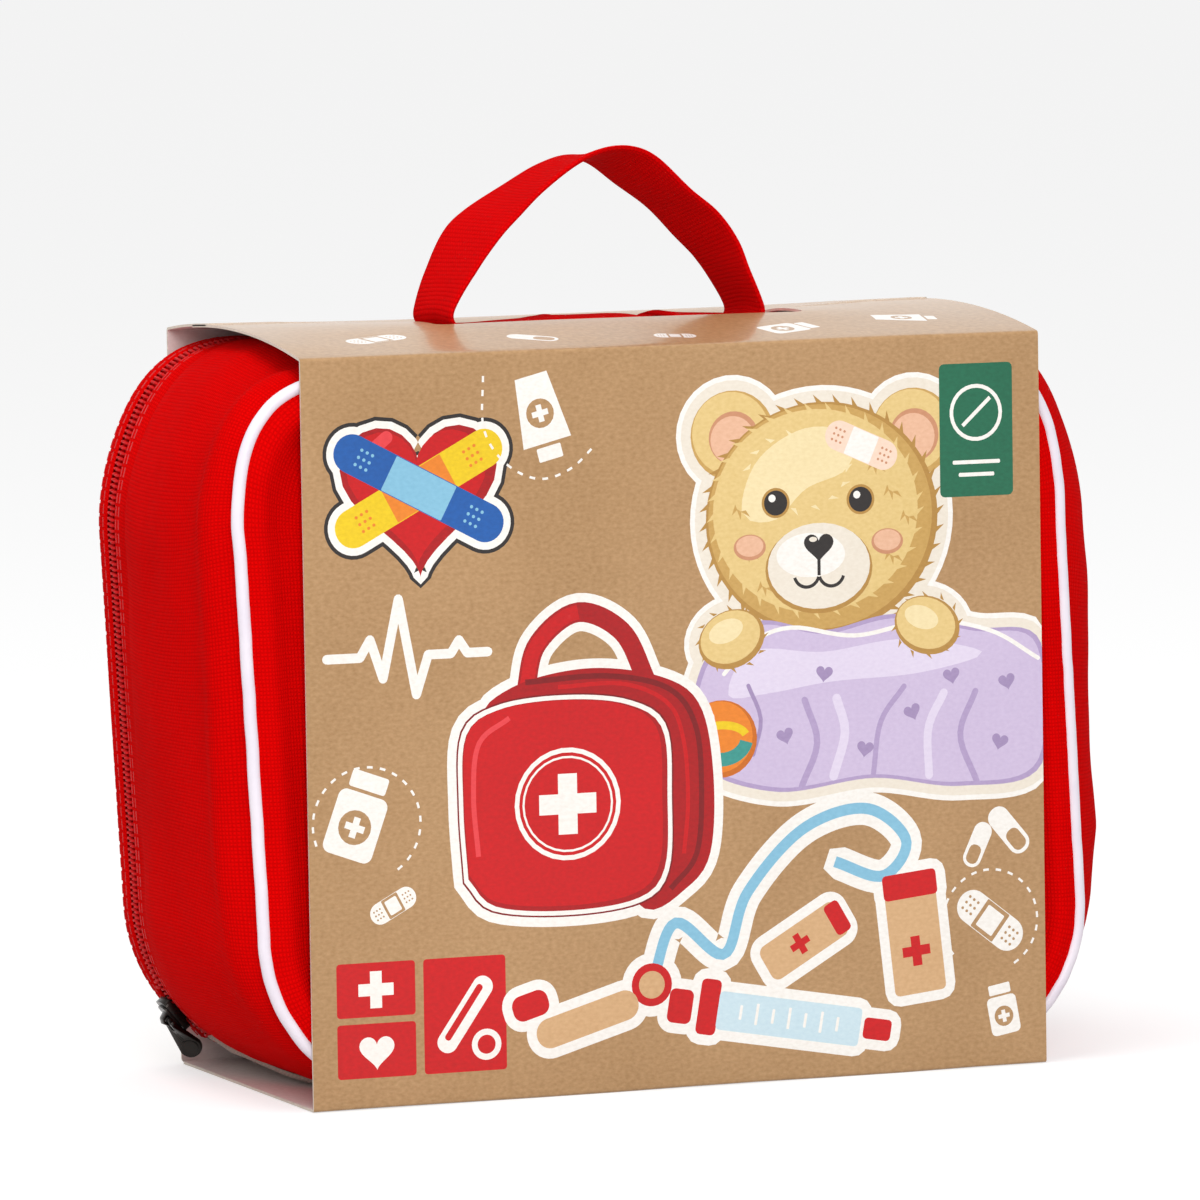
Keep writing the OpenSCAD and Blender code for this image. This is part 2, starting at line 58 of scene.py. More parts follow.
# The view: a long lens from the front left, a little above the case, tilted as the
# photograph is.
turn, rise, tilt = math.radians(21.0), math.radians(4.9), math.radians(-0.92)
camera_back = Vector(
    (-math.sin(turn) * math.cos(rise), -math.cos(turn) * math.cos(rise), math.sin(rise))
)
level = Vector((math.cos(turn), -math.sin(turn), 0))
camera_right = level * math.cos(tilt) + camera_back.cross(level) * math.sin(tilt)
camera_up = camera_back.cross(camera_right)
aim = Vector((0, 0, 84.9)) - 1.4 * camera_right + 24.5 * camera_up
stand = (aim + 2200 * camera_back) * MM
lens = bpy.data.cameras.new("view")
lens.sensor_width = 36
lens.lens = 9365 / 1200 * lens.sensor_width
lens.clip_end = 50
camera = bpy.data.objects.new("view", lens)
axes = Matrix((camera_right, camera_up, camera_back)).transposed().to_4x4()
camera.matrix_world = Matrix.Translation(stand) @ axes
bpy.context.scene.collection.objects.link(camera)
bpy.context.scene.camera = camera
bpy.context.scene.view_settings.view_transform = "Standard"


class Wire:
    """One output socket of a node. Arithmetic on it adds Math nodes."""

    def __init__(self, graph, node, socket):
        self.graph, self.node, self.socket = graph, node, socket

    def output(self, key):
        return Wire(self.graph, self.node, self.node.outputs[key])

    def math(self, operation, *values):
        settings = {"operation": operation}
        return self.graph.node("ShaderNodeMath", settings, dict(enumerate(values)))

    def __add__(self, other):
        return self.math("ADD", self, other)

    def __sub__(self, other):
        return self.math("SUBTRACT", self, other)

    def __rsub__(self, other):
        return self.math("SUBTRACT", other, self)

    def __mul__(self, other):
        return self.math("MULTIPLY", self, other)

    def __truediv__(self, other):
        return self.math("DIVIDE", self, other)

    def __gt__(self, other):
        return self.math("GREATER_THAN", self, other)

    def __abs__(self):
        return self.math("ABSOLUTE", self)

    def sine(self):
        return self.math("SINE", self)

    __radd__ = __add__
    __rmul__ = __mul__


class Graph:
    """A node tree that is built one node at a time."""

    def __init__(self, tree):
        self.tree = tree

    def node(self, kind, settings=None, inputs=None, output=0):
        node = self.tree.nodes.new(kind)
        for name, value in (settings or {}).items():
            setattr(node, name, value)
        for key, value in (inputs or {}).items():
            if isinstance(value, Wire):
                self.tree.links.new(value.socket, node.inputs[key])
            else:
                node.inputs[key].default_value = value
        return Wire(self, node, node.outputs[output] if node.outputs else None)


class Finish(Graph):
    """A material, from its patterns to its surface."""

    def __init__(self, name):
        self.material = bpy.data.materials.new(name)
        self.material.use_nodes = True
        super().__init__(self.material.node_tree)
        self.tree.nodes.clear()

    def place(self):
        return self.node("ShaderNodeTexCoord", output="Object")

    def mix(self, share, first, second):
        return self.node("ShaderNodeMix", {"data_type": "RGBA"}, {0: share, 6: first, 7: second}, 2)

    def grain(self, scale, detail=2.0, place=None):
        inputs = {"Vector": place or self.place(), "Scale": scale, "Detail": detail}
        return self.node("ShaderNodeTexNoise", None, inputs)

    def bump(self, height, depth):
        return self.node("ShaderNodeBump", None, {"Height": height, "Distance": depth})

    def end(self, shader):
        self.node("ShaderNodeOutputMaterial", None, {"Surface": shader})
        return self.material

    def surface(self, sockets):
        return self.end(self.node("ShaderNodeBsdfPrincipled", None, sockets))


def ink(code):
    """A colour from its six hex digits, as a linear one with full alpha."""
    levels = [int(code[i : i + 2], 16) / 255 for i in (0, 2, 4)]
    return tuple(c / 12.92 if c <= 0.04045 else ((c + 0.055) / 1.055) ** 2.4 for c in levels) + (1.0,)


# The studio: a wide pale floor, a soft lamp at the front left, one above, a weaker one at the left,
# and even light all round.
def backdrop(light_strength):
    """How strong the white room is: full for the camera, less as a light, and for mirrors bright behind
    the case and dim in front of it."""
    rays = studio.node("ShaderNodeLightPath")
    seen = rays.output("Is Camera Ray").math("MAXIMUM", rays.output("Is Transmission Ray"))
    way = studio.node("ShaderNodeSeparateXYZ", None, {0: studio.node("ShaderNodeTexCoord").output("Generated")})
    behind = (way.output(1) * 1.6).math("MAXIMUM", 0.0).math("MINIMUM", 1.1)
    return seen * (1 - light_strength) + rays.output("Is Glossy Ray") * behind + light_strength


world = bpy.data.worlds.new("studio")
world.use_nodes = True
world.node_tree.nodes.clear()
studio = Graph(world.node_tree)
sky = studio.node("ShaderNodeBackground", None, {"Color": (1, 1, 1, 1), "Strength": backdrop(0.26)})
studio.node("ShaderNodeOutputWorld", None, {"Surface": sky})
bpy.context.scene.world = world

floor_finish = Finish("studio floor")
matt = floor_finish.node("ShaderNodeBsdfDiffuse", None, {"Color": (0.55, 0.55, 0.55, 1)})
glow = floor_finish.node("ShaderNodeEmission", None, {"Strength": 0.55})
rays = floor_finish.node("ShaderNodeLightPath")
glow = floor_finish.node(
    "ShaderNodeMixShader", None,
    {0: rays.output("Is Diffuse Ray"), 1: glow, 2: floor_finish.node("ShaderNodeEmission", None, {"Strength": 0.0})},
)
floor_finish.end(floor_finish.node("ShaderNodeAddShader", None, {0: matt, 1: glow}))
floor_mesh = bpy.data.meshes.new("floor")
reach = 12
floor_mesh.from_pydata([(-reach, -reach, 0), (reach, -reach, 0), (reach, reach, 0), (-reach, reach, 0)], [], [(0, 1, 2, 3)])
floor_mesh.materials.append(floor_finish.material)
floor = bpy.data.objects.new("floor", floor_mesh)
floor.location.z = -0.0001
bpy.context.scene.collection.objects.link(floor)


def soft_lamp(name, place, size, power):
    """A square lamp that faces the middle of the case."""
    light = bpy.data.lights.new(name, "AREA")
    light.size, light.energy = size, power
    lamp = bpy.data.objects.new(name, light)
    lamp.location = place
    lamp.rotation_euler = (Vector(place) - Vector((0, 0, 0.09))).to_track_quat("Z", "Y").to_euler()
    bpy.context.scene.collection.objects.link(lamp)


soft_lamp("front lamp", (-0.5, -1.85, 0.8), 0.7, 18)
soft_lamp("top lamp", (-0.5, -0.3, 1.9), 1.0, 11)
soft_lamp("left lamp", (-1.9, -0.9, 1.2), 1.0, 3.0)


# The case's shell. Its sides, top and floor are one long strip of red woven cloth, the gusset,
# on a sheet of foam. It is cut to shape, sewn to the front panel and hemmed along the zip.
cord_low, cord_high = (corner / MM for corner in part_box("front_piping"))
cord_r = (cord_high.y - cord_low.y) / 2
seam_y = -(cord_high.y + cord_low.y) / 2
seam_half = cord_high.x - cord_r
seam_low, seam_top = cord_low.z + cord_r, cord_high.z - cord_r
skin_low, skin_high = (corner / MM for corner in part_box("gusset"))
side_swell, top_swell = skin_high.x - seam_half, skin_high.z - seam_top
tub_edge = skin_high.y
board_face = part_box("sleeve_bottom_panel")[1].z / MM
zip_band = (25.5, 40.25)
zip_share = 0.72
corner_r = 36
CORNER_STEPS, TOP_STEPS, SIDE_STEPS = 44, 90, 60
TURN = 4 * CORNER_STEPS + 2 * TOP_STEPS + 2 * SIDE_STEPS


def swell(y):
    """Share of the full swell at depth y: none at the seams, and flat across the zip."""
    if y < 0:
        return 1 - min(-y / seam_y, 1) ** 2.4
    if y < zip_band[0]:
        return 1 - (1 - zip_share) * (y / zip_band[0]) ** 2.4
    if y < zip_band[1]:
        return zip_share
    return zip_share * (1 - ((min(y, seam_y) - zip_band[1]) / (seam_y - zip_band[1])) ** 2)


def rounded(half, low, top, low_r, top_r):
    """A rectangle with round corners, counter-clockwise from the right: points and outward directions."""
    corners = [
        (half - top_r, top - top_r, top_r, 0, TOP_STEPS),
        (top_r - half, top - top_r, top_r, 90, SIDE_STEPS),
        (low_r - half, low + low_r, low_r, 180, TOP_STEPS),
        (half - low_r, low + low_r, low_r, 270, SIDE_STEPS),
    ]
    spots, facing = [], []
    for i, (x, z, r, start, steps) in enumerate(corners):
        angle = np.radians(start + 90 * np.arange(CORNER_STEPS) / CORNER_STEPS)
        way = np.c_[np.cos(angle), np.sin(angle)]
        spots.append(np.array((x, z)) + r * way)
        facing.append(way)
        x2, z2, r2 = corners[(i + 1) % 4][:3]
        way = np.round((math.cos(math.radians(start + 90)), math.sin(math.radians(start + 90))), 9)
        first, last = np.array((x, z)) + r * way, np.array((x2, z2)) + r2 * way
        share = np.arange(steps)[:, None] / steps
        spots.append(first + (last - first) * share)
        facing.append(np.repeat(way[None], steps, 0))
    return np.concatenate(spots), np.concatenate(facing)


def outline(y, inset=0.0):
    """One turn round the case at depth y, `inset` inside its skin."""
    s = swell(y)
    low = seam_low - cord_r * min(1, 2.5 * s) + inset
    return rounded(
        seam_half + side_swell * s - inset, low, seam_top + top_swell * s - inset,
        max(2, corner_r + 4 * s - inset), max(2, corner_r + 11 * s - inset),
    )


def lean(z):
    """How far the slack case leans over in its sleeve at height z."""
    return 1.7 - 0.045 * z


def ease(share):
    """A share from 0 to 1, with a soft start and a soft end."""
    share = min(1.0, max(0.0, share))
    return share * share * (3 - 2 * share)


def bulge(x, y, z):
    """How far the skin is pushed out: full shoulders and upper corners behind the front seam, more on the
    slack right side, a crease along the zip's hem high on the left, and the top under the handle."""
    side, upright = ease((abs(x) - 68) / 25), min(1.0, max(0.0, (z - 8) / 45))
    ahead = math.exp(-(((y + 43) / 20) ** 2)) if y < 0 else 0.0
    front = math.exp(-(((abs(x) - 89) ** 2 + (z - 157) ** 2) / 16**2)) * ahead
    rear = math.exp(-(((abs(x) - 82) ** 2 + (z - 160) ** 2) / 19**2)) * ease((y + 32) / 26) * ease((abs(x) - 50) / 20)
    if x > 60:
        depth = max(0.0, 1 - ((y + 24) / 19.5) ** 2) if y < -24 else math.exp(-(((y + 24) / 22) ** 2))
        return (7.2 + 1.6 * ease((z - 70) / 50)) * depth * upright * side + 5.0 * front + 2.5 * rear
    if x < -60:
        shoulder = math.exp(-(((y + 35.5) / 5.5) ** 2)) * min(1, (y + 43.4) / 4) if y > -43.4 else 0.0
        crease = math.exp(-(((y - 22) / 2.6) ** 2)) * min(1.0, max(0.2, (z - 60) / 80))
        return (3.0 * shoulder * upright - 1.1 * crease) * side + 4.0 * front + 4.6 * rear
    return dome(x, y) + 4.6 * rear if z > seam_top - 10 else 0.0


def dome(x, y):
    """How far the top of the case stands up into the sleeve's window, less where the handle's ends press it down."""
    pressed = math.exp(-(((abs(x) - 26) / 13) ** 4) - (y / 17) ** 4)
    return 5.0 * math.exp(-((x / 52) ** 4) - ((y + 3) / 22) ** 2) - 1.4 * pressed


def settle(spots, facing, y, waves=0.0, pucker=0.0, ripple=0.0):
    """Points of a row in place: leaning, with shallow waves, the small gathers of a sewn seam, and
    ripples to and fro."""
    lift, sway = np.zeros(len(spots)), np.zeros(len(spots))
    for i, (x, z) in enumerate(spots):
        broad = noise.noise(Vector((x / 38, y / 24, z / 38)))
        fine = noise.noise(Vector((x / 12, y / 9, z / 12)))
        gather = noise.noise(Vector((x / 4.5, 0, z / 4.5)))
        lift[i] = waves * (broad + 0.35 * fine) + pucker * gather + bulge(x, y, z)
        sway[i] = ripple * (broad + 0.35 * fine)
    spots = spots + facing * lift[:, None]
    return np.c_[spots[:, 0] + lean(spots[:, 1]), y + sway, np.maximum(spots[:, 1], board_face + 0.1)]


def row(y, inset=0.0, waves=0.0, pucker=0.0, ripple=0.0, at=None):
    """A turn of cloth at depth y, with the outline of depth `at`."""
    return settle(*outline(y if at is None else at, inset), y, waves, pucker, ripple)


def arch(y, inset=0.0, waves=0.0, pucker=0.0, ripple=0.0, at=None, low=7.2, count=420):
    """A turn of cloth that is cut off at height `low` on both sides."""
    spots, facing = outline(y if at is None else at, inset)
    low = max(low, spots[:, 1].min() + 0.3)
    start = int(np.argmin(spots[:, 1] + 0.001 * abs(spots[:, 0])))
    spots, facing = np.roll(spots, -start, 0), np.roll(facing, -start, 0)
    kept = np.flatnonzero(spots[:, 1] >= low)
    first, last = kept[0], kept[-1]
    run = slice(first, last + 1)
    spots, facing = spots[run].copy(), facing[run]
    spots[[0, -1], 1] = low
    length = np.r_[0, np.cumsum(np.linalg.norm(np.diff(spots, axis=0), axis=1))]
    even = np.linspace(0, length[-1], count)
    spots = np.c_[np.interp(even, length, spots[:, 0]), np.interp(even, length, spots[:, 1])]
    facing = np.c_[np.interp(even, length, facing[:, 0]), np.interp(even, length, facing[:, 1])]
    return settle(spots, facing, y, waves, pucker, ripple)


def loft(name, rows, joined=False, ring=True):
    """A closed skin over rows of points. Each row is a ring or an open line, and the last row meets the
    first if they are joined. What is left open is capped. Its cloth map is in metres."""
    rows = np.asarray(rows) * MM
    m, n = rows.shape[:2]
    i, j = (a.ravel() for a in np.meshgrid(np.arange(m if joined else m - 1), np.arange(n if ring else n - 1), indexing="ij"))
    i2, j2 = (i + 1) % m, (j + 1) % n
    quads = np.c_[i * n + j, i * n + j2, i2 * n + j2, i2 * n + j]
    caps = []
    if not joined:
        caps += [[k for k in range(n)][::-1], [(m - 1) * n + k for k in range(n)]]
    if not ring:
        caps += [[k * n for k in range(m)], [k * n + n - 1 for k in range(m)][::-1]]
    mesh = bpy.data.meshes.new(name)
    flat = rows.reshape(-1, 3)
    mesh.from_pydata(flat.tolist(), [], quads.tolist() + caps)
    wide = np.concatenate([rows, rows[:, :1]], 1)
    around = np.r_[0, np.cumsum(np.linalg.norm(np.diff(wide, axis=1), axis=2).mean(0))]
    tall = np.concatenate([rows, rows[:1]], 0)
    along = np.r_[0, np.cumsum(np.linalg.norm(np.diff(tall, axis=0), axis=2).mean(1))]
    uv = np.stack([np.c_[along[a], around[b]] for a, b in ((i, j), (i, j + 1), (i + 1, j + 1), (i + 1, j))], 1)
    uv = np.concatenate([uv.reshape(-1, 2)] + [flat[cap][:, [0, 2]] for cap in caps])
    mesh.uv_layers.new(name="cloth").data.foreach_set("uv", uv.astype(np.float32).ravel())
    return settle_mesh(mesh, name)


def settle_mesh(mesh, name, sharp=50):
    """Turns the faces outwards, smooths all but the sharp edges, and makes the object."""
    import bmesh
    work = bmesh.new()
    work.from_mesh(mesh)
    bmesh.ops.recalc_face_normals(work, faces=work.faces)
    work.to_mesh(mesh)
    work.free()
    mesh.polygons.foreach_set("use_smooth", [True] * len(mesh.polygons))
    mesh.set_sharp_from_angle(angle=math.radians(sharp))
    piece = bpy.data.objects.new(name, mesh)
    bpy.context.scene.collection.objects.link(piece)
    return piece


def dress(piece, material, slot, body, *nodes):
    """Gives a piece its material, fixes it to its body, and lets it stand for its nodes. The slot is not used."""
    if material:
        piece.data.materials.clear()
        piece.data.materials.append(material)
    if body:
        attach(piece, body)
    if nodes:
        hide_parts(*nodes)
    return piece


def woven(name, lit, deep, pitch=0.85, rough=0.85, relief=0.12, shine=0.02):
    """Plain woven cloth on the cloth map, with threads of the given pitch in millimetres."""
    cloth = Finish(name)
    place = cloth.node("ShaderNodeSeparateXYZ", None, {0: cloth.node("ShaderNodeUVMap", {"uv_map": "cloth"})})
    run, across = place / (pitch * MM), place.output(1) / (pitch * MM)
    threads = abs((run * math.pi).sine() * (across * math.pi).sine())
    patches = cloth.grain(26, 3)
    fuzz = cloth.grain(1400, 1)
    tone = threads * 0.42 + patches * 0.5 + fuzz * 0.3 - 0.1
    return cloth.surface({
        "Base Color": cloth.mix(tone, deep, lit),
        "Roughness": rough + fuzz * 0.12,
        "Specular IOR Level": shine,
        "Normal": cloth.bump(threads + fuzz * 0.5 + patches * 3, relief * MM),
    })


red_cloth = woven("red woven cloth", ink("ee0404"), ink("b40000"))
foam_t, cloth_t, hem_t = 3.05, 1.0, 0.5
shell_rows = [
    row(y, 0, 0.75 * min(1, (y + seam_y) / 12, (tub_edge - y) / 8), 0.5 * math.exp(-(y + 43.4) / 2.2))
    for y in (-43.4, -43, -42.4, -41.6, -40.6, -39.4, -38, -36.2, -34, -31.5, *range(-29, 16, 3), 18, 19.5, 21, 22, 23, 24.2, 25.4, 26.5, 27.6, 28.5, 29.1)
]
hem = ((29.6, 0.15), (tub_edge, hem_t), (29.6, 0.85), (29, cloth_t), (27, cloth_t), (26, cloth_t))
shell_rows += [row(y, inset) for y, inset in hem]
shell_rows += [row(y, foam_t) for y in (25, 22, 18, 8, -2, -12, -22, -32, -36, -39, -42.6)]
shell = loft("case_shell", shell_rows, joined=True)
dress(shell, red_cloth, "red_fabric", "tub", "gusset", "gusset_foam")


# Front panel: the same cloth over thin foam, a cushion with a sewn edge.
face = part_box("front_panel")[0].y / MM
cushion = (
    (face + 0.2, 45), (face + 0.7, 25), (face + 3.2, 14), (face + 3.2, 11.4), (face + 2.4, 9.2), (face + 1.0, 7.2), (face + 0.1, 5.6),
    (face + 0.2, 4), (face + 0.6, 2.7), (face + 0.95, 1.8), (face + 1.25, 0.9), (face + 1.35, 1.0), (face + 1.35, 3.2),
    (face + 3.3, 3.4), (face + 3.3, 15), (face + 3.3, 45),
)
front = loft("front_panel_padded", [row(y, inset, 0, 0.25 if inset < 3 else 0, 0.25 if inset > 8 else 0.1, at=-seam_y) for y, inset in cushion])
dress(front, red_cloth, "red_fabric", "tub", "front_panel", "front_foam")


# Back panel: the same cushion, on the thin back part of the case that opens.
back_rows = [arch(-y, inset, 0, 0.25 if inset < 3 else 0, 0.1, at=-seam_y, low=max(3.2, 9.2 if y > face + 1.4 else 3.2)) for y, inset in cushion]
back = loft("back_panel_padded", back_rows, ring=True)
dress(back, red_cloth, "red_fabric", "cover", "back_panel", "back_foam")


# Back strip of the gusset: one layer of cloth between the zip and the back seam.
cover_edge = 36.0
strip_rows = [arch(y, inset, 0.3 * (1 if 38 < y < 41 else 0), 0.4 * math.exp((y - 43.4) / 2)) for y, inset in (
    (cover_edge, 0.5), (cover_edge + 0.4, 0.15), (cover_edge + 0.9, 0), (38, 0), (39.4, 0), (40.6, 0), (41.6, 0), (42.4, 0), (43.2, 0),
    (43.8, 0), (44.15, 0.05), (44.15, 0.6), (43.6, 0.95), (43, 1), (41, 1), (39, 1), (37, 1), (cover_edge + 0.4, 0.85),
)]
strip = loft("back_strip", strip_rows, joined=True, ring=False)
dress(strip, red_cloth, "red_fabric", "cover", "back_gusset")


# Piping: a soft plastic cord in each seam, white at the front and red at the back.
def sweep(name, points, radius, closed, sides=14):
    """A round cord along points, made with Geometry Nodes."""
    points = np.asarray(points) * MM
    n = len(points)
    line = bpy.data.meshes.new(name)
    line.from_pydata(points.tolist(), [(k, (k + 1) % n) for k in range(n if closed else n - 1)], [])
    tree = bpy.data.node_groups.new(name, "GeometryNodeTree")
    tree.interface.new_socket("Path", in_out="INPUT", socket_type="NodeSocketGeometry")
    size = tree.interface.new_socket("Radius", in_out="INPUT", socket_type="NodeSocketFloat")
    tree.interface.new_socket("Cord", in_out="OUTPUT", socket_type="NodeSocketGeometry")
    nodes = Graph(tree)
    inlet = nodes.node("NodeGroupInput")
    path = nodes.node("GeometryNodeMeshToCurve", None, {"Mesh": inlet.output("Path")})
    section = nodes.node("GeometryNodeCurvePrimitiveCircle", None, {"Resolution": sides, "Radius": inlet.output("Radius")})
    cord = nodes.node("GeometryNodeCurveToMesh", None, {"Curve": path, "Profile Curve": section, "Fill Caps": not closed})
    nodes.node("NodeGroupOutput", None, {"Cord": cord})
    return grown(name, line, tree, {size.identifier: radius * MM})


def grown(name, source, tree, values):
    """The plain mesh that a node tree makes from a source mesh."""
    seedling = bpy.data.objects.new(name, source)
    bpy.context.scene.collection.objects.link(seedling)
    growth = seedling.modifiers.new("growth", "NODES")
    growth.node_group = tree
    for key, value in values.items():
        growth[key] = value
    seedling.update_tag()
    graph = bpy.context.evaluated_depsgraph_get()
    mesh = bpy.data.meshes.new_from_object(seedling.evaluated_get(graph), preserve_all_data_layers=True, depsgraph=graph)
    bpy.data.objects.remove(seedling)
    mesh.name = name
    return settle_mesh(mesh, name)


white_cord = Finish("white soft plastic")
scuff = white_cord.grain(90, 4)
white_cord.surface({
    "Base Color": white_cord.mix(scuff, ink("f4eef4"), ink("ddd2e0")),
    "Roughness": 0.34 + scuff * 0.15,
    "Subsurface Weight": 0.0,
    "Normal": white_cord.bump(white_cord.grain(900, 1) + scuff * 2, 0.05 * MM),
})
piping = sweep("front_piping_cord", row(-seam_y, 0, 0, 0.12, 0.1), cord_r, True)
dress(piping, white_cord.material, "white_piping", "tub", "front_piping")
red_cord = Finish("red soft plastic")
scuff = red_cord.grain(90, 4)
red_cord.surface({
    "Base Color": red_cord.mix(scuff, ink("d8101a"), ink("a80812")),
    "Roughness": 0.36 + scuff * 0.15,
    "Specular IOR Level": 0.2,
    "Normal": red_cord.bump(red_cord.grain(900, 1) + scuff * 2, 0.05 * MM),
})
piping = sweep("back_piping_cord", arch(seam_y, 0, 0, 0.12, 0.1, low=7.6), cord_r, False)
dress(piping, red_cord.material, "red_piping", "cover", "back_piping")


# Linings: thin smooth cloth inside the case, sewn in with the seams.
lining_cloth = woven("red lining", ink("c40a14"), ink("8e0610"), pitch=0.3, relief=0.04)
bag = [(-43.12, 45), (-43.12, 15), (-43.1, 6), (-42.7, 3.4), (-42, 3.15), (-30, 3.15), (-15, 3.15), (0, 3.15), (15, 3.15), (25.4, 3.15),
       (25.4, 3.7), (15, 3.7), (0, 3.7), (-15, 3.7), (-30, 3.7), (-41.6, 3.75), (-42.3, 4.4), (-42.5, 8), (-42.5, 15), (-42.5, 45)]
lining = loft("tub_lining", [row(y, inset, at=max(y, -42)) for y, inset in bag])
dress(lining, lining_cloth, "red_lining", "tub", "gusset_lining", "front_lining")
sheet_rows = [(43.1, 45), (43.1, 15), (43.08, 6.5), (42.9, 5.2), (42.55, 5.2), (42.5, 6.5), (42.5, 15), (42.5, 45)]
lining = loft("back_lining_sheet", [arch(y, inset, at=seam_y, low=9.2) for y, inset in sheet_rows])
dress(lining, lining_cloth, "red_lining", "cover", "back_lining")


# Handle: one length of red webbing. Its ends are sewn flat on the top of the case, and the loop stands
# up between them, pinched at the crest.
strap_low, strap_high = (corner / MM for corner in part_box("handle_strap"))
foot_low, foot_high = (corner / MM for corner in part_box("handle_foot_left"))
strap_t = foot_high.z - foot_low.z
flat = foot_low.z + strap_t / 2
crest = strap_high.z - strap_t / 2
# The strap's two edges, as x and z of the back one and x and z of the front one, from foot to foot.
line = np.array([
    (-14, flat, -14, flat), (-24, flat, -24, flat), (-33, flat, -33, flat), (-38.8, flat + 0.3, -38.8, flat + 0.3),
    (-41.4, flat + 2.2, -41.2, flat + 2.2), (-41.2, 178.8, -40.4, 179.2), (-38.6, 187.2, -35.6, 188), (-34.1, 196.2, -29.4, 196),
    (-28.7, 201.2, -24.2, 201.2), (-19, 206.8, -18.4, 206.6), (-10.7, 211.2, -10, 212.6), (-3.5, 213.2, -3, 215.6), (2.4, 211.8, 3.6, 216),
    (9.2, 206.8, 10, 213.4), (17.2, 201, 18.4, 205.6), (24, 194, 25.2, 200), (29.3, 188.6, 30.2, 193), (33.4, 182.3, 33.2, 185),
    (36.2, 176.9, 35.6, 178), (36.6, flat + 1.4, 36.4, flat + 1.4), (34.8, flat + 0.2, 34.8, flat + 0.2), (29, flat, 29, flat), (22, flat, 22, flat), (14, flat, 14, flat),
])


def smooth_line(points, step):
    """A Catmull-Rom line through points, at even steps."""
    points = np.concatenate([2 * points[:1] - points[1:2], points, 2 * points[-1:] - points[-2:-1]])
    t = np.linspace(0, 1, 12, endpoint=False)[:, None]
    runs = []
    for a, b, c, d in zip(points, points[1:], points[2:], points[3:]):
        runs.append(0.5 * (2 * b + (c - a) * t + (2 * a - 5 * b + 4 * c - d) * t**2 + (3 * b - a - 3 * c + d) * t**3))
    dense = np.concatenate(runs + [points[-2:-1]])
    length = np.r_[0, np.cumsum(np.linalg.norm(np.diff(dense, axis=0), axis=1))]
    even = np.linspace(0, length[-1], int(length[-1] / step) + 1)
    return np.stack([np.interp(even, length, dense[:, k]) for k in range(dense.shape[1])], 1)


line = smooth_line(line, 1.1)
half = strap_high.y
thick = [(-half, 0.18), (-half + 0.25, 0.42), (-half + 1.2, 0.6)]
thick += [(y, 0.65) for y in np.linspace(-half + 2.4, half - 2.4, 15)] + [(-y, t) for y, t in thick[::-1]]
section = [(y, -t) for y, t in thick] + [(y, t) for y, t in thick[::-1]]
handle_rows = []
for y, t in section:
    share = (y + half) / (2 * half)
    spine = line[:, :2] * share + line[:, 2:] * (1 - share)
    way = np.gradient(spine, axis=0)
    way /= np.linalg.norm(way, axis=1)[:, None]
    points = spine + np.c_[-way[:, 1], way[:, 0]] * t
    fixed = 1 - np.clip((spine[:, 1] - 176) / 12, 0, 1)
    pinch = np.clip((spine[:, 1] - 200) / 10, 0, 1) * math.cos(y / half * math.pi / 2)
    rise = np.array([dome(x, y) for x in points[:, 0]])
    handle_rows.append(np.c_[points[:, 0], np.full(len(line), y), points[:, 1] - 0.8 * pinch + (rise - 0.5) * fixed])
handle = loft("carrying_strap", handle_rows, joined=True, ring=False)
webbing = woven("red webbing", ink("ea0608"), ink("b80204"), pitch=1.1, relief=0.2)
dress(handle, webbing, "red_webbing", None, "handle_strap", "handle_foot_left", "handle_foot_right")
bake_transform(handle)

# Card sleeve: printed kraft board with a glossy film, folded round the case. One sheet makes its floor,
# front and top flap, with a window for the handle. A second one makes its back and back flap.
sleeve_low, sleeve_high = (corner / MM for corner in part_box("sleeve_front_panel"))
flap_low, flap_high = (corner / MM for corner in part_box("sleeve_top_flap"))
floor_low, floor_high = (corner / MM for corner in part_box("sleeve_bottom_panel"))
behind_low, behind_high = (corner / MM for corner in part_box("sleeve_back_panel"))
over_low, over_high = (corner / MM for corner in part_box("sleeve_back_flap"))
half_w, board_t = sleeve_high.x, sleeve_high.y - sleeve_low.y
sleeve_y, crease_z = -sleeve_low.y, flap_low.z + board_t + 2.0
window = (46.0, 15.5)


def arch_z(y, lift=0.0):
    """Height of the flap's outer face at depth y: a flat arch, a little higher at the back."""
    share = y / sleeve_y
    return crease_z + lift + 1.2 * (1 + share) + 3.6 * (1 - share * share)


def folded(points, radius=0.9, steps=5):
    """A line with its sharp turns rounded: depths, heights and outward directions along its length."""
    points = [np.array(point, float) for point in points]
    soft = [points[0]]
    for a, b, c in zip(points, points[1:], points[2:]):
        before, after = (a - b) / np.linalg.norm(a - b), (c - b) / np.linalg.norm(c - b)
        if before @ after < -0.9:
            soft.append(b)
            continue
        t = np.linspace(0, 1, steps + 1)[:, None]
        soft += list((1 - t) ** 2 * (b + before * radius) + 2 * t * (1 - t) * b + t**2 * (b + after * radius))
    soft = np.array(soft + [points[-1]])
    length = np.r_[0, np.cumsum(np.linalg.norm(np.diff(soft, axis=0), axis=1))]
    way = np.gradient(soft, axis=0)
    way /= np.linalg.norm(way, axis=1)[:, None]
    return length, soft, way


class Print:
    """Flat shapes in layers of ink, in millimetres across and along the sheet."""

    def __init__(self):
        self.layers = []

    def paint(self, colour, *shapes):
        self.layers += [(colour, np.asarray(shape, float)) for shape in shapes]

    def halo(self, colour, width, *shapes):
        self.paint(colour, *shapes, *(band(np.concatenate([shape, shape[:1]]), width * 2) for shape in shapes))


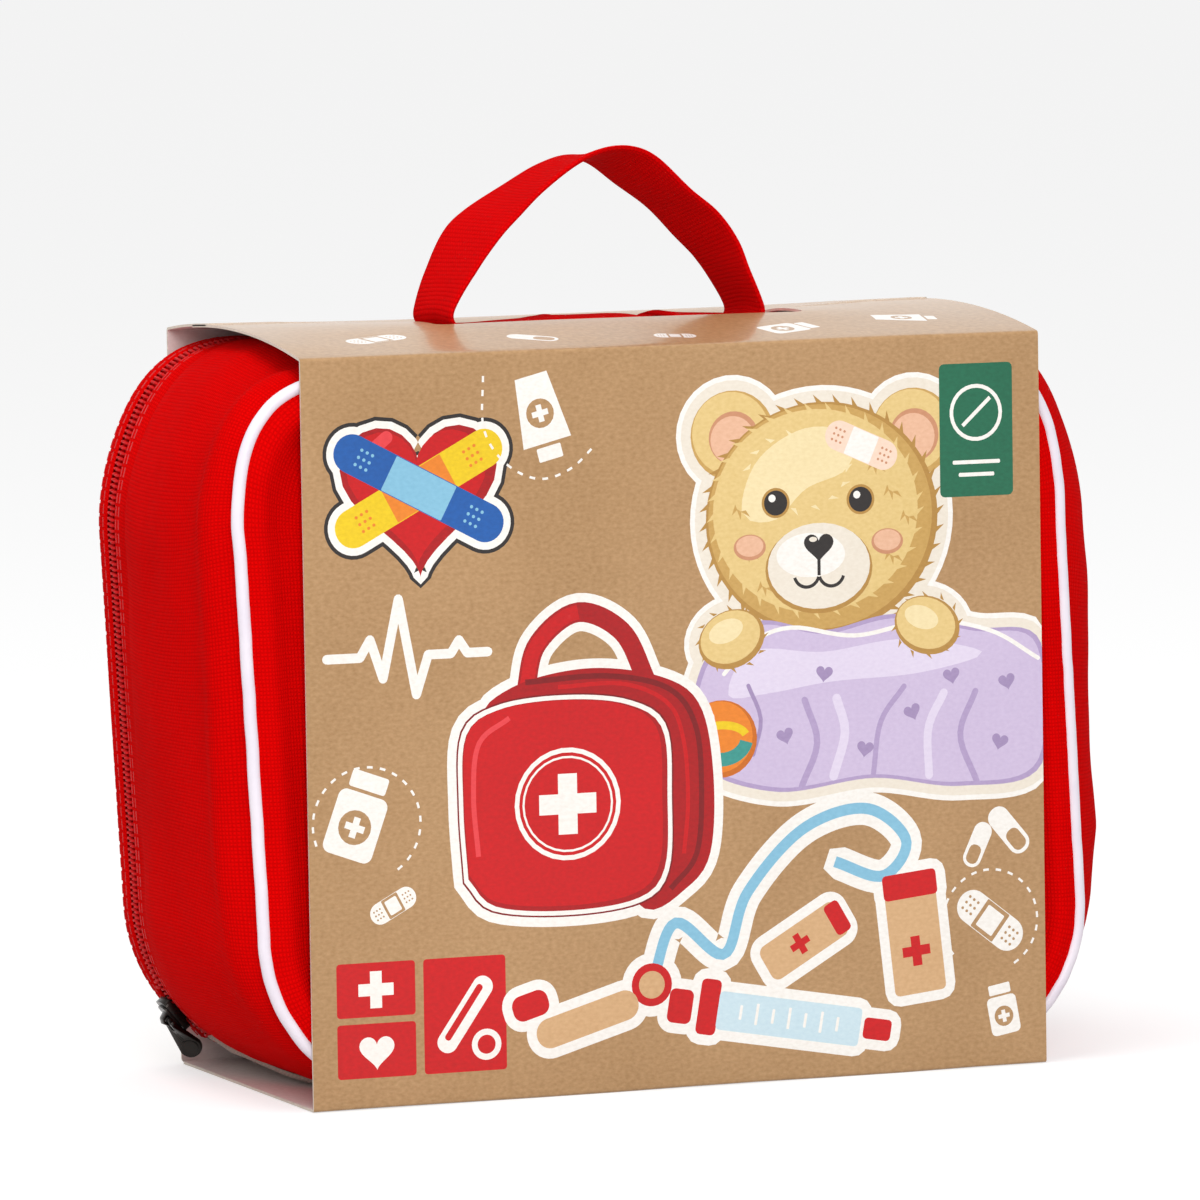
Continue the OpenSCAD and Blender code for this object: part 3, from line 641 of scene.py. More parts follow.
def spun(points, x, v, turn):
    a = math.radians(turn)
    points = np.asarray(points, float)
    return np.c_[x + points[:, 0] * math.cos(a) - points[:, 1] * math.sin(a), v + points[:, 0] * math.sin(a) + points[:, 1] * math.cos(a)]


def disc(x, v, r, flat=1.0, turn=0, sides=30):
    a = np.linspace(0, 2 * math.pi, sides, endpoint=False)
    return spun(np.c_[r * np.cos(a), r * flat * np.sin(a)], x, v, turn)


def plate(x, v, w, h, r=0.8, turn=0):
    """A rectangle with round corners."""
    a = np.radians(np.linspace(0, 90, 4 if r < 1.5 else 9))
    corner = np.c_[np.cos(a), np.sin(a)] * r
    turns = [(1, 1, 0), (-1, 1, 1), (-1, -1, 2), (1, -1, 3)]
    points = [spun(corner, i * (w / 2 - r), j * (h / 2 - r), 90 * k) for i, j, k in turns]
    return spun(np.concatenate(points), x, v, turn)


def band(points, width):
    """A line drawn with a pen of the given width."""
    points = np.asarray(points, float)
    way = np.gradient(points, axis=0)
    if np.allclose(points[0], points[-1]):
        way[0] = way[-1] = points[1] - points[-2]
    way /= np.linalg.norm(way, axis=1)[:, None]
    side = np.c_[-way[:, 1], way[:, 0]] * width / 2
    return np.concatenate([points + side, (points - side)[::-1]])


def curl(x, v, r, start, end, flat=1.0, sides=30):
    a = np.radians(np.linspace(start, end, sides))
    return np.c_[x + r * np.cos(a), v + r * flat * np.sin(a)]


def dashes(points, width, dash=2.0, gap=1.4):
    line = smooth_line(np.asarray(points, float), 0.35)
    n, hop = int(dash / 0.35), int((dash + gap) / 0.35)
    return [band(line[k : k + n], width) for k in range(0, len(line) - n, hop)]


def cross(x, v, size, turn=0):
    """An equal-armed cross."""
    a, b = size / 2, size / 6
    return spun([(b, b), (b, a), (-b, a), (-b, b), (-a, b), (-a, -b), (-b, -b), (-b, -a), (b, -a), (b, -b), (a, -b), (a, b)], x, v, turn)


def heart(x, v, size, turn=0):
    a = np.linspace(0, 2 * math.pi, 40, endpoint=False)
    return spun(np.c_[16 * np.sin(a) ** 3, 13 * np.cos(a) - 5 * np.cos(2 * a) - 2 * np.cos(3 * a) - np.cos(4 * a)] * size / 32, x, v, turn)


def plaster(art, x, v, w, h, turn, skin, pad, dot):
    """A sticking plaster with its pad and air holes."""
    art.paint(skin, plate(x, v, w, h, h * 0.49, turn))
    art.paint(pad, plate(x, v, w * 0.36, h * 0.96, 0.3, turn))
    for i in (-1, 0, 1):
        for j in (-1, 0, 1):
            art.paint(dot, *(spun(disc(i * h * 0.16 + e * w * 0.33, j * h * 0.2, h * 0.045, sides=8), x, v, turn) for e in (-1, 1)))


def pictograms(art, spots):
    """Small white drawings."""
    for kind, x, v, size, turn in spots:
        if kind == "bottle":
            art.paint("white", spun(plate(0, -0.12 * size, 0.62 * size, 0.76 * size, 0.1 * size), x, v, turn), spun(plate(0, 0.4 * size, 0.46 * size, 0.2 * size, 0.03 * size), x, v, turn))
            art.paint("kraft", spun(disc(0, -0.14 * size, 0.2 * size, sides=20), x, v, turn))
            art.paint("white", spun(cross(0, -0.14 * size, 0.24 * size), x, v, turn))
        elif kind == "capsule":
            art.paint("white", spun(plate(0, 0, 0.42 * size, size, 0.2 * size), x, v, turn))
            art.paint("kraft", spun(plate(0, -0.22 * size, 0.28 * size, 0.42 * size, 0.12 * size), x, v, turn))
        elif kind == "plaster":
            plaster(art, x, v, size, 0.42 * size, turn, "white", "kraft", "kraft")
            art.paint("white", spun(plate(0, 0, 0.26 * size, 0.3 * size, 0.3), x, v, turn))
        else:
            art.paint("white", spun([(-0.2 * size, 0.5 * size), (0.2 * size, 0.5 * size), (0.3 * size, -0.3 * size), (-0.3 * size, -0.3 * size)], x, v, turn), spun(plate(0, -0.42 * size, 0.3 * size, 0.16 * size, 0.3), x, v, turn))
            art.paint("kraft", spun(disc(0, 0.05 * size, 0.17 * size, sides=20), x, v, turn))
            art.paint("white", spun(cross(0, 0.05 * size, 0.2 * size), x, v, turn))


art = Print()
# Emblem at the top left: a red heart with a yellow and a blue plaster across it.
emblem = [heart(-63, 141, 38), plate(-63, 141, 45, 9, 4.4, 28), plate(-63, 141, 45, 9, 4.4, -28)]
art.halo("black", 2.6, *emblem)
art.halo("white", 1.7, *emblem)
art.paint("red deep", heart(-63, 141, 38))
art.paint("red", heart(-63.5, 141.5, 34))
art.paint("red pale", spun(plate(0, 0, 9, 3, 1.5), -73, 151, 38))
plaster(art, -63, 141, 45, 9, 28, "yellow", "orange", "orange")
plaster(art, -63, 141, 45, 9, -28, "blue", "sky", "sky")
# A heartbeat line under it.
beat = [(-86, 103), (-78, 103), (-75.5, 107), (-72.5, 98), (-68.5, 116), (-64.5, 94), (-61.5, 103), (-56, 103), (-54, 106), (-52, 103), (-47, 103)]
art.paint("white", *(band([a, b], 2.2) for a, b in zip(beat, beat[1:])), *(disc(x, v, 1.1, sides=10) for x, v in beat))
# White drawings with dashed trails.
pictograms(art, [
    ("tube", -33, 156, 20, 14), ("bottle", -79, 67, 20, -20), ("plaster", -71, 46, 12, 28),
    ("capsule", 82, 55, 13, 40), ("capsule", 74, 52, 11, -25), ("plaster", 77, 34, 19, -38), ("bottle", 80, 13, 12, 10),
])
for trail in (
    [(-47, 166), (-47, 154), (-42, 146), (-34, 142), (-26, 144), (-19, 150)],
    curl(-77, 65, 13, 200, -70), curl(77, 34, 12, -60, 230),
):
    art.paint("white", *dashes(trail, 0.55))
# Red panels at the bottom left with a cross, a heart and a cased thermometer.
art.paint("red", plate(-75.5, 27, 19, 12.5, 0.8), plate(-75.5, 13, 19, 12.5, 0.8), plate(-54, 20, 20, 26.5, 0.8))
art.paint("white", cross(-75.5, 27, 8.5), heart(-75.5, 13, 8.5), plate(-54, 20, 5, 20, 2.4, -35), disc(-48.9, 12.8, 3.6))
art.paint("red", plate(-54.3, 20.5, 1.6, 15, 0.7, -35), disc(-48.9, 12.8, 2.2))
# The large picture: a toy bear as a patient, with a plaster on its brow, a lilac blanket and a ball.


def blob(points, step=2.2):
    """A smooth closed shape through points."""
    points = np.array(points, float)
    ring = np.concatenate([points[-2:], points, points[:2]])
    line = smooth_line(ring, step)
    start = np.argmin(((line - points[0]) ** 2).sum(1)[: len(line) // 2])
    finish = len(line) // 2 + np.argmin(((line - points[0]) ** 2).sum(1)[len(line) // 2 :])
    return line[start:finish]


def tufts(x, v, r, flat, turns, size):
    """Short strokes of fur round an oval."""
    strokes = []
    for turn in turns:
        a = math.radians(turn)
        way = np.array((math.cos(a), math.sin(a)))
        root = np.array((x, v)) + way * (r, r * flat)
        tip = root + size * np.array((math.cos(a + 0.7), math.sin(a + 0.7)))
        across = 0.3 * size * np.array((-way[1], way[0]))
        strokes.append(np.array([root - across, root + across, tip]))
    return strokes


head, ears = (36, 130), ((14, 150), (59, 149))
blanket = blob([(5, 74), (3, 88), (8, 101), (20, 107), (36, 104), (54, 107), (74, 103), (90.6, 99), (90.6, 70), (70, 66), (48, 69), (24, 67)])
ball = disc(10, 80, 9)
paws = [disc(13, 103, 8.6, 0.8, 20), disc(62, 104, 8.6, 0.8, -20)]
ground = [disc(*head, 29.5, 0.93, sides=60), *(disc(*ear, 10.6) for ear in ears), blanket, ball, *paws]
art.halo("white", 3.4, *ground)
art.halo("cream", 2.2, *ground)
for ear in ears:
    art.paint("yellow deep", disc(*ear, 10.4))
    art.paint("yellow soft", disc(ear[0] - 0.4, ear[1] + 0.5, 9.6))
    art.paint("peach deep", disc(ear[0] + 0.3, ear[1] - 0.6, 6.2))
    art.paint("peach", disc(ear[0], ear[1] - 1, 5.5))
art.paint("yellow gold", disc(*head, 29, 0.93, sides=60), *tufts(*head, 28.4, 0.93, range(0, 360, 9), 3))
art.paint("yellow deep", disc(head[0] - 0.4, head[1] + 0.4, 28, 0.93, sides=60))
art.paint("yellow soft", disc(head[0] - 1.6, head[1] + 1.8, 25.6, 0.92, sides=60), *tufts(head[0] - 1.6, head[1] + 1.8, 25.2, 0.92, range(4, 360, 11), 2.6))
art.paint("yellow pale", blob([(16, 132), (20, 144), (32, 151), (44, 149), (42, 141), (32, 137), (24, 130)]), *tufts(30, 141, 12, 0.7, range(0, 360, 24), 2.2))
for x, v in ((18, 124), (22, 116), (54, 122), (58, 131), (50, 143), (54, 137), (16, 134)):
    art.paint("yellow deep", *tufts(x, v, 1.5, 1, (200, 240, 280), 2.3))
art.paint("yellow gold", disc(35, 118.4, 13.4, 0.78))
art.paint("cream", disc(35, 119, 12.8, 0.78))
art.paint("white", disc(33, 121.6, 8.6, 0.6))
for side in (-1, 1):
    eye = (35 + 10.6 * side, 134)
    art.paint("yellow gold", disc(*eye, 3.5))
    art.paint("black", disc(*eye, 2.9))
    art.paint("white", disc(eye[0] - 0.9, eye[1] + 1.1, 0.9, sides=12))
    art.paint("peach deep", disc(35 + 17.2 * side, 124, 4.0, 0.75))
    art.paint("peach", disc(35 + 17.2 * side, 124.3, 3.4, 0.72))
    art.paint("black", band(curl(35 + 3.1 * side, 117.3, 3.1, 195, 345), 0.8))
art.paint("black", heart(35, 123.6, 7.4), band([(35, 121), (35, 116.8)], 0.8))
art.paint("cream", disc(33.6, 125.2, 1.0, 0.6, sides=12))
plaster(art, 46, 146.5, 19, 7, -24, "peach pale", "white", "peach deep")
art.paint("lilac edge", blanket)
inner = blanket.mean(0) + (blanket - blanket.mean(0)) * (0.975, 0.95)
art.paint("lilac", inner)
art.paint("lilac pale", blob([(12, 90), (18, 100), (36, 99), (56, 101), (76, 97), (60, 93), (38, 92), (22, 90)]))
folds = [
    ("lilac edge", 1.6, [(30, 68), (34, 78), (31, 88)]), ("lilac edge", 1.3, [(48, 70), (50, 82), (56, 90)]), ("lilac edge", 1.5, [(74, 67), (70, 78), (74, 88)]),
    ("lilac pale", 2.2, [(38, 70), (41, 80), (39, 88)]), ("lilac pale", 2.0, [(62, 69), (62, 80), (66, 88)]), ("lilac deep", 1.0, [(18, 76), (20, 84), (17, 92)]),
    ("white", 1.0, [(11, 95), (18, 102), (28, 105), (44, 102.4), (62, 105), (78, 102), (90, 95)]),
]
for tone, pen, fold_line in folds:
    art.paint(tone, band(smooth_line(np.array(fold_line, float), 2), pen), *(disc(*end, pen / 2, sides=12) for end in (fold_line[0], fold_line[-1])))
for x, v, turn in ((26, 80, 15), (46, 76, -10), (58, 84, 20), (80, 76, -15), (68, 92, 10), (36, 94, -8), (82, 90, 12)):
    art.paint("lilac deep", heart(x, v, 4.2, turn))
for paw in ((13, 103, 20), (62, 104, -20)):
    art.paint("yellow gold", disc(paw[0], paw[1], 8.4, 0.8, paw[2]), *tufts(paw[0], paw[1], 7.8, 0.85, range(0, 360, 30), 1.8))
    art.paint("yellow soft", disc(paw[0] - 0.3, paw[1] + 0.5, 7.6, 0.78, paw[2]))
    art.paint("yellow pale", disc(paw[0] - 1.4, paw[1] + 1.9, 4.4, 0.6, paw[2]))
art.paint("orange deep", ball)
art.paint("orange", disc(9.6, 80.5, 8.3))
art.paint("teal", band(curl(10, 80, 6.4, 190, 350, 0.75), 3.2))
art.paint("yellow", band(curl(10, 80, 6.4, 15, 165, 0.5), 1.9))
art.paint("cream", disc(6.8, 85, 1.7))
# Green label at the top right.
art.paint("green", plate(75, 149, 18.5, 31, 1.2))
art.paint("white", band(curl(75, 153, 6.2, 0, 360), 0.9), band([(71.6, 150), (78.6, 156.4)], 0.9), plate(75, 141.5, 12, 0.9, 0.3), plate(75, 138.6, 9, 0.9, 0.3))
# The red case half turned, with its handle, white piping and round badge.
case = smooth_line(np.array([(-54, 50), (-55, 68), (-54, 85), (-45, 91), (-28, 92.5), (-12, 90.5), (-3, 84), (-2, 67), (-3, 50), (-10, 43), (-28, 41), (-47, 43), (-54, 50)], float), 2.5)[:-1]
flank = blob([(-48, 88), (-40, 95), (-22, 98), (-4, 95), (5, 88), (8, 72), (7, 54), (1, 46), (-10, 42), (-20, 60), (-30, 80)])
grip = smooth_line(np.array([(-38, 93), (-35, 104), (-25, 111), (-14, 106), (-8, 94)], float), 1.5)
art.halo("white", 2.2, case, flank, band(grip, 4.4))
art.paint("red deep", band(grip, 4.6))
art.paint("red", band(grip[: len(grip) // 2], 3.4))
art.paint("red deep", flank)
art.paint("red dark", band(smooth_line(np.array([(-38, 95.5), (-18, 96), (-3, 92.5), (3.6, 84), (5, 70), (3.6, 54), (-3, 46)], float), 1.5), 1.3))
art.paint("red", band(smooth_line(np.array([(-30, 94), (-14, 94), (-3, 89), (0.8, 80), (1.6, 66), (0.4, 54)], float), 1.5), 1.0))
art.paint("red dark", case)
middle = case.mean(0)
art.paint("white", middle + (case - middle) * 0.985)
art.paint("red deep", middle + (case - middle) * 0.945)
art.paint("red", middle + (case - middle) * (0.915, 0.92) + (-0.5, 0.5))
art.paint("red pale", band(smooth_line(np.array([(-50, 56), (-51, 70), (-49.5, 82), (-42, 87.5)], float), 1.5), 1.2))
art.paint("white", disc(-28, 67, 13))
art.paint("red", disc(-28, 67, 11.9))
art.paint("white", disc(-28, 67, 11.1))
art.paint("red", disc(-28, 67, 10.6))
art.paint("white", cross(-28, 67, 14))
# Toy tools: a jar, a thermometer, a syringe and a listening tube.
tube_line = smooth_line(np.array([(-8, 24), (-2, 38), (10, 30), (16, 44), (30, 58), (46, 62), (56, 54), (50, 46), (38, 50)], float), 1.2)
jar = [plate(58, 30, 13, 24, 1.2, 6), plate(56.7, 43.5, 13.6, 6, 1, 6)]
glass = [plate(26, 14, 36, 9, 1, -10), plate(6, 18, 5, 13, 1.2, -10), plate(48, 10.2, 7, 5, 1, -10), plate(-1, 18.6, 6, 8, 1.5, -10)]
stick = [plate(-24, 17, 26, 7, 3.4, 16), plate(-38, 21, 9, 6, 2.4, 16)]
art.halo("white", 2.4, band(tube_line, 3), *jar, *glass, *stick, disc(-8, 24, 5), plate(30, 32, 22, 9, 2, 30))
art.paint("sky", band(tube_line, 2.6))
art.paint("red", disc(-8, 24, 5))
art.paint("wood", disc(-8, 24, 3.2))
art.paint("wood", jar[0], plate(30, 32, 22, 9, 2, 30), *stick)
art.paint("red", jar[1], cross(58.2, 28, 7, 6), glass[1], glass[2], glass[3], stick[1], plate(38.4, 36.9, 4, 8, 1, 30), cross(29, 31.4, 5, 30))
art.paint("sky pale", glass[0])
art.paint("white", *(plate(14 + 4 * k, 16.2 - 0.7 * k, 0.7, 5 if k % 2 else 3.4, 0.2, -10) for k in range(7)))
# Faint drawings on the top flap.
pictograms(art, [("plaster", -66, 190, 16, 20), ("capsule", -30, 184, 12, 60), ("bottle", 34, 185, 14, -70), ("tube", 66, 192, 15, 80), ("plaster", 4, 181, 10, -10)])

INKS = {
    "kraft": ("bd966b", "a17b50"), "white": ("fbf8f3", "ece6de"), "black": ("2a2422", "201b1a"), "red": ("d0060e", "b8040a"),
    "red deep": ("b2060e", "98040a"), "yellow": ("f2cf1d", "e0bb14"), "orange": ("ef8a2c", "dd7a22"), "blue": ("1f5fae", "1a5299"),
    "sky": ("8cc3dc", "7db5d0"), "sky pale": ("cfe4ec", "c0d9e4"), "green": ("1c6b4d", "165c41"), "cream": ("efe6d8", "e4d9c8"),
    "yellow soft": ("e8cb8c", "dbbb76"), "yellow deep": ("cda560", "bf9650"), "yellow pale": ("f4e2b4", "ead4a0"), "yellow gold": ("b98d48", "ab803e"),
    "lilac": ("d2c2de", "c6b4d4"), "lilac deep": ("a893bb", "9a85ae"), "lilac pale": ("e4d9ec", "dacde4"), "lilac edge": ("b6a2c8", "a994bc"),
    "red pale": ("e8464a", "dc3a40"), "red dark": ("84040a", "700308"), "orange deep": ("cf6f1c", "bf6418"), "peach": ("edbe9f", "e0ad8c"), "peach pale": ("f7dcc8", "efcfb8"),
    "peach deep": ("cf9471", "c28763"), "teal": ("3f9c92", "358b82"), "wood": ("d9b184", "c99e70"),
}


def board(name, lit, deep, rough=0.36, coat=0.35):
    """Printed kraft board: short fibres under the ink and a thin glossy film."""
    sheet = Finish(name)
    place = sheet.place()
    fibre_place = sheet.node("ShaderNodeMapping", None, {"Vector": place, "Scale": (1, 1, 1.6)})
    fibres = sheet.grain(800, 3, fibre_place)
    cloud = sheet.grain(30, 3, place)
    tone = (fibres - 0.5) * 1.6 + (cloud - 0.5) * 0.8 + 0.5
    return sheet.surface({
        "Base Color": sheet.mix(tone, deep, lit),
        "Roughness": rough + (cloud - 0.5) * 0.2,
        "Specular IOR Level": 0.25,
        "Coat Weight": coat,
        "Coat Roughness": 0.12,
        "Normal": sheet.bump(sheet.grain(60, 2, place) * 2 + fibres * 0.15, 0.1 * MM),
    })


ink_names = list(INKS)
board_looks = [board(f"printed {key}", ink(lit), ink(deep)) for key, (lit, deep) in INKS.items()]
board_looks.append(board("board inside", ink("e6d8d4"), ink("d6c6c2"), 0.8, 0.0))
board_looks.append(board("board edge", ink("e6dccf"), ink("d2c5b5"), 0.7, 0.0))
INSIDE, EDGE = len(INKS), len(INKS) + 1


def sheet_of_board(name, art, edge, holes, route, zero, slack):
    """A printed sheet, cut to its edge and holes, then folded along its route."""
    length, spots, way = route
    length = length - zero
    loops = [edge, *holes] + [shape for _, shape in art.layers]
    low, high = edge.min(0), edge.max(0)
    rules = [np.array([(low[0], v), (high[0], v)]) for v in length if low[1] < v < high[1]]
    rules += [np.array([(x, low[1]), (x, high[1])]) for x in np.linspace(low[0], high[0], 11)[1:-1]]
    points, joins, at = [], [], 0
    for shape in loops:
        shape = np.clip(shape, low, high)
        points.append(shape)
        joins += [(at + k, at + (k + 1) % len(shape)) for k in range(len(shape))]
        at += len(shape)
    for rule in rules:
        points.append(rule)
        joins.append((at, at + 1))
        at += 2
    flat, _, faces, _, _, _ = delaunay_2d_cdt([Vector(point) for point in np.concatenate(points)], joins, [], 0, 1e-4, False)
    flat = np.array([tuple(point) for point in flat])
    faces = np.array([face for face in faces if len(face) == 3])
    a, b, c = (flat[faces[:, k]] for k in range(3))
    area = (b[:, 0] - a[:, 0]) * (c[:, 1] - a[:, 1]) - (b[:, 1] - a[:, 1]) * (c[:, 0] - a[:, 0])
    faces, centre = faces[abs(area) > 1e-7], ((a + b + c) / 3)[abs(area) > 1e-7]
    kept = covered(edge, centre)
    for hole in holes:
        kept &= ~covered(hole, centre)
    faces, centre = faces[kept], centre[kept]
    tone = np.full(len(faces), ink_names.index("kraft"))
    for colour, shape in art.layers:
        tone[covered(shape, centre)] = ink_names.index(colour)
    y, z = np.interp(flat[:, 1], length, spots[:, 0]), np.interp(flat[:, 1], length, spots[:, 1])
    out = np.c_[-np.interp(flat[:, 1], length, way[:, 1]), np.interp(flat[:, 1], length, way[:, 0])]
    out /= np.linalg.norm(out, axis=1)[:, None]
    bow = np.array([slack(*spot) for spot in zip(flat[:, 0], y, z)])[:, None]
    skin = np.c_[flat[:, 0], np.c_[y, z] + out * bow]
    under = skin - np.c_[np.zeros(len(flat)), out * board_t]
    n = len(flat)
    uses = {}
    for face in faces.tolist():
        for p, q in zip(face, face[1:] + face[:1]):
            uses[(p, q)] = uses.get((p, q), 0) + 1
    rim = [(p, q) for p, q in uses if (q, p) not in uses]
    mesh = bpy.data.meshes.new(name)
    all_faces = faces.tolist() + (faces[:, ::-1] + n).tolist() + [[q, p, p + n, q + n] for p, q in rim]
    mesh.from_pydata((np.concatenate([skin, under]) * MM).tolist(), [], all_faces)
    for look in board_looks:
        mesh.materials.append(look)
    index = np.r_[tone, np.full(len(faces), INSIDE), np.full(len(rim), EDGE)]
    mesh.polygons.foreach_set("material_index", index.astype(np.int32))
    return settle_mesh(mesh, name, 40)


def covered(shape, spots):
    """Which spots lie inside a shape."""
    low, high = shape.min(0), shape.max(0)
    near = np.flatnonzero((spots >= low).all(1) & (spots <= high).all(1))
    inside = np.zeros(len(near), bool)
    x, v = spots[near].T
    for (x1, v1), (x2, v2) in zip(shape, np.roll(shape, -1, 0)):
        if v1 != v2:
            inside ^= ((v1 > v) != (v2 > v)) & (x < (x2 - x1) * (v - v1) / (v2 - v1) + x1)
    result = np.zeros(len(spots), bool)
    result[near] = inside
    return result


def slack(x, y, z):
    """How far the board bows: the front a little, and the rim of the window over the strap's feet."""
    bow = 0.25 * noise.noise(Vector((x / 45, y / 30, z / 45))) * min(1, (half_w - abs(x)) / 6 + 0.3)
    if z > crease_z + 0.5:
        bow += 0.8 * math.exp(-(((y + window[1]) / 13) ** 2) - (x / 56) ** 4)
        bow -= 3.2 * math.exp(-(((y - window[1] - 6) / 14) ** 2) - (x / 56) ** 4)
    return bow


arch_ys = np.linspace(-sleeve_y, flap_high.y, 27)
front_route = folded([(floor_high.y, 0.02), (-sleeve_y, 0.02), (-sleeve_y, crease_z)] + [(y, arch_z(y)) for y in arch_ys[1:]])
front_zero = floor_high.y + sleeve_y
sheet_end = front_route[0][-1] - front_zero
window_v = [front_route[0][np.argmin(abs(front_route[1][:, 0] - y) + 100 * (front_route[1][:, 1] < crease_z + 0.4))] - front_zero for y in (-window[1], window[1])]
edge = plate(0, (sheet_end - front_zero) / 2, 2 * half_w, sheet_end + front_zero, 1.2)
hole = plate(0, sum(window_v) / 2, 2 * window[0], window_v[1] - window_v[0], 3)
wrap = sheet_of_board("card_sleeve_front", art, edge, [hole], front_route, front_zero, slack)
dress(wrap, None, "printed_board", "tub", "sleeve_front_panel", "sleeve_bottom_panel", "sleeve_top_flap")

back_art = Print()
pictograms(back_art, [("bottle", -60, 130, 26, 15), ("capsule", 10, 140, 22, -30), ("plaster", 62, 118, 30, 35), ("tube", 40, 60, 26, -15), ("plaster", -56, 52, 26, -20), ("capsule", -10, 86, 20, 40)])
over = over_high.z - flap_high.z
arch_ys = np.linspace(-sleeve_y, -over_low.y, 12)
back_route = folded([(-sleeve_y, 0.02)] + [(y, arch_z(-y, over)) for y in arch_ys])
back_end = back_route[0][-1]
edge = plate(0, back_end / 2, 2 * half_w, back_end, 1.2)
back_board = sheet_of_board("card_sleeve_back", back_art, edge, [], back_route, 0, lambda x, y, z: slack(x, -y, z) if z > crease_z + 1.5 else 0.0)
for vertex in back_board.data.vertices:
    vertex.co.y = -vertex.co.y
back_board.data.flip_normals()
dress(back_board, None, "printed_board", "sleeve_back", "sleeve_back_panel", "sleeve_back_flap")


# Seam bindings: narrow tape folded over the raw edges inside the front and back seams.
binding_cloth = woven("binding tape", ink("c20810"), ink("930409"), pitch=0.6, relief=0.08)
fold = [(-45.05, 1.75), (-44.9, 1.65), (-43.2, 1.65), (-43.0, 1.8), (-43.0, 2.95), (-43.2, 3.1), (-44.9, 3.1), (-45.05, 2.95)]
binding = loft("front_binding", [row(y, inset, at=-seam_y) for y, inset in fold], joined=True)
dress(binding, binding_cloth, "red_binding", "tub", "front_seam_binding")
binding = loft("back_binding", [arch(-y, inset, at=seam_y, low=7.3) for y, inset in fold], joined=True, ring=False)
dress(binding, binding_cloth, "red_binding", "cover", "back_seam_binding")


# Zip: two woven tapes sewn under the cloth edges, each with a nylon coil. On the case the coils mesh above the
# slider and lie apart below it; here both run meshed along the whole zip.
tape_inset, tape_t, zip_line = 1.35, 0.55, 33.0
tape_cloth = woven("zip tape", ink("e4060a"), ink("b40206"), pitch=0.8, relief=0.12)


def zip_tape(name, edge, inner, low, body, node):
    """A flat tape between two depths, a little wavy, with a thick woven edge."""
    way = 1 if edge > inner else -1
    spots = [(inner, 0.1), (inner + 0.2 * way, 0), (inner + 2 * way, 0), (edge - 2 * way, 0), (edge - 0.9 * way, -0.18), (edge - 0.3 * way, -0.15), (edge, 0.1)]
    rows = [arch(y, tape_inset + dip, 0.08, at=zip_line, low=low) for y, dip in spots]
    rows += [arch(y, tape_inset + tape_t - dip, 0.08, at=zip_line, low=low) for y, dip in spots[::-1]]
    dress(loft(name, rows, joined=True, ring=False), tape_cloth, "zip_tape", body, node)


front_tape, back_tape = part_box("zip_tape_front"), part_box("zip_tape_back")
zip_tape("front_tape", front_tape[1].y / MM + 0.2, front_tape[0].y / MM, front_tape[0].z / MM, "tub", "zip_tape_front")
zip_tape("back_tape", back_tape[0].y / MM - 0.2, back_tape[1].y / MM, back_tape[0].z / MM, "cover", "zip_tape_back")


def rank(name, points, pitch, start, shape, material, closed=False):
    """Copies of one small shape at an even pitch along a line, made with Geometry Nodes. The shape's x runs
    along the line, and its y along the depth of the case."""
    points = np.asarray(points) * MM
    n = len(points)
    line = bpy.data.meshes.new(name)
    line.from_pydata(points.tolist(), [(k, (k + 1) % n) for k in range(n if closed else n - 1)], [])
    tree = bpy.data.node_groups.new(name, "GeometryNodeTree")
    sockets = {}
    for label, kind in (("Path", "Geometry"), ("Pitch", "Float"), ("Start", "Float")):
        sockets[label] = tree.interface.new_socket(label, in_out="INPUT", socket_type="NodeSocket" + kind).identifier
    tree.interface.new_socket("Row", in_out="OUTPUT", socket_type="NodeSocketGeometry")
    nodes = Graph(tree)
    inlet = nodes.node("NodeGroupInput")
    path = nodes.node("GeometryNodeMeshToCurve", None, {"Mesh": inlet.output("Path")})
    if not closed:
        path = nodes.node("GeometryNodeTrimCurve", {"mode": "LENGTH"}, {"Curve": path, 4: inlet.output("Start"), 5: 100.0})
    spots = nodes.node("GeometryNodeCurveToPoints", {"mode": "LENGTH"}, {"Curve": path, "Length": inlet.output("Pitch")})
    along = nodes.node("FunctionNodeAlignEulerToVector", {"axis": "X"}, {"Vector": spots.output("Tangent")})
    level = nodes.node("FunctionNodeAlignEulerToVector", {"axis": "Y", "pivot_axis": "X"}, {"Rotation": along, "Vector": (0, 1, 0)})
    copies = nodes.node("GeometryNodeInstanceOnPoints", None, {"Points": spots, "Instance": shape(nodes), "Rotation": level})
    solid = nodes.node("GeometryNodeRealizeInstances", None, {"Geometry": copies})
    solid = nodes.node("GeometryNodeSetMaterial", None, {"Geometry": solid, "Material": material})
    nodes.node("NodeGroupOutput", None, {"Row": solid})
    return grown(name, line, tree, {sockets["Pitch"]: pitch * MM, sockets["Start"]: start * MM})


def coil_turn(half_y, half_z, wire, slant):
    """One flat turn of a nylon coil."""

    def make(nodes):
        turn = nodes.node("GeometryNodeCurvePrimitiveCircle", None, {"Resolution": 14, "Radius": 1.0})
        turn = nodes.node("GeometryNodeTransform", None, {"Geometry": turn, "Rotation": (0, math.pi / 2, slant), "Scale": (half_z * MM, half_y * MM, 1)})
        section = nodes.node("GeometryNodeCurvePrimitiveCircle", None, {"Resolution": 6, "Radius": wire * MM})
        return nodes.node("GeometryNodeCurveToMesh", None, {"Curve": turn, "Profile Curve": section})

    return make


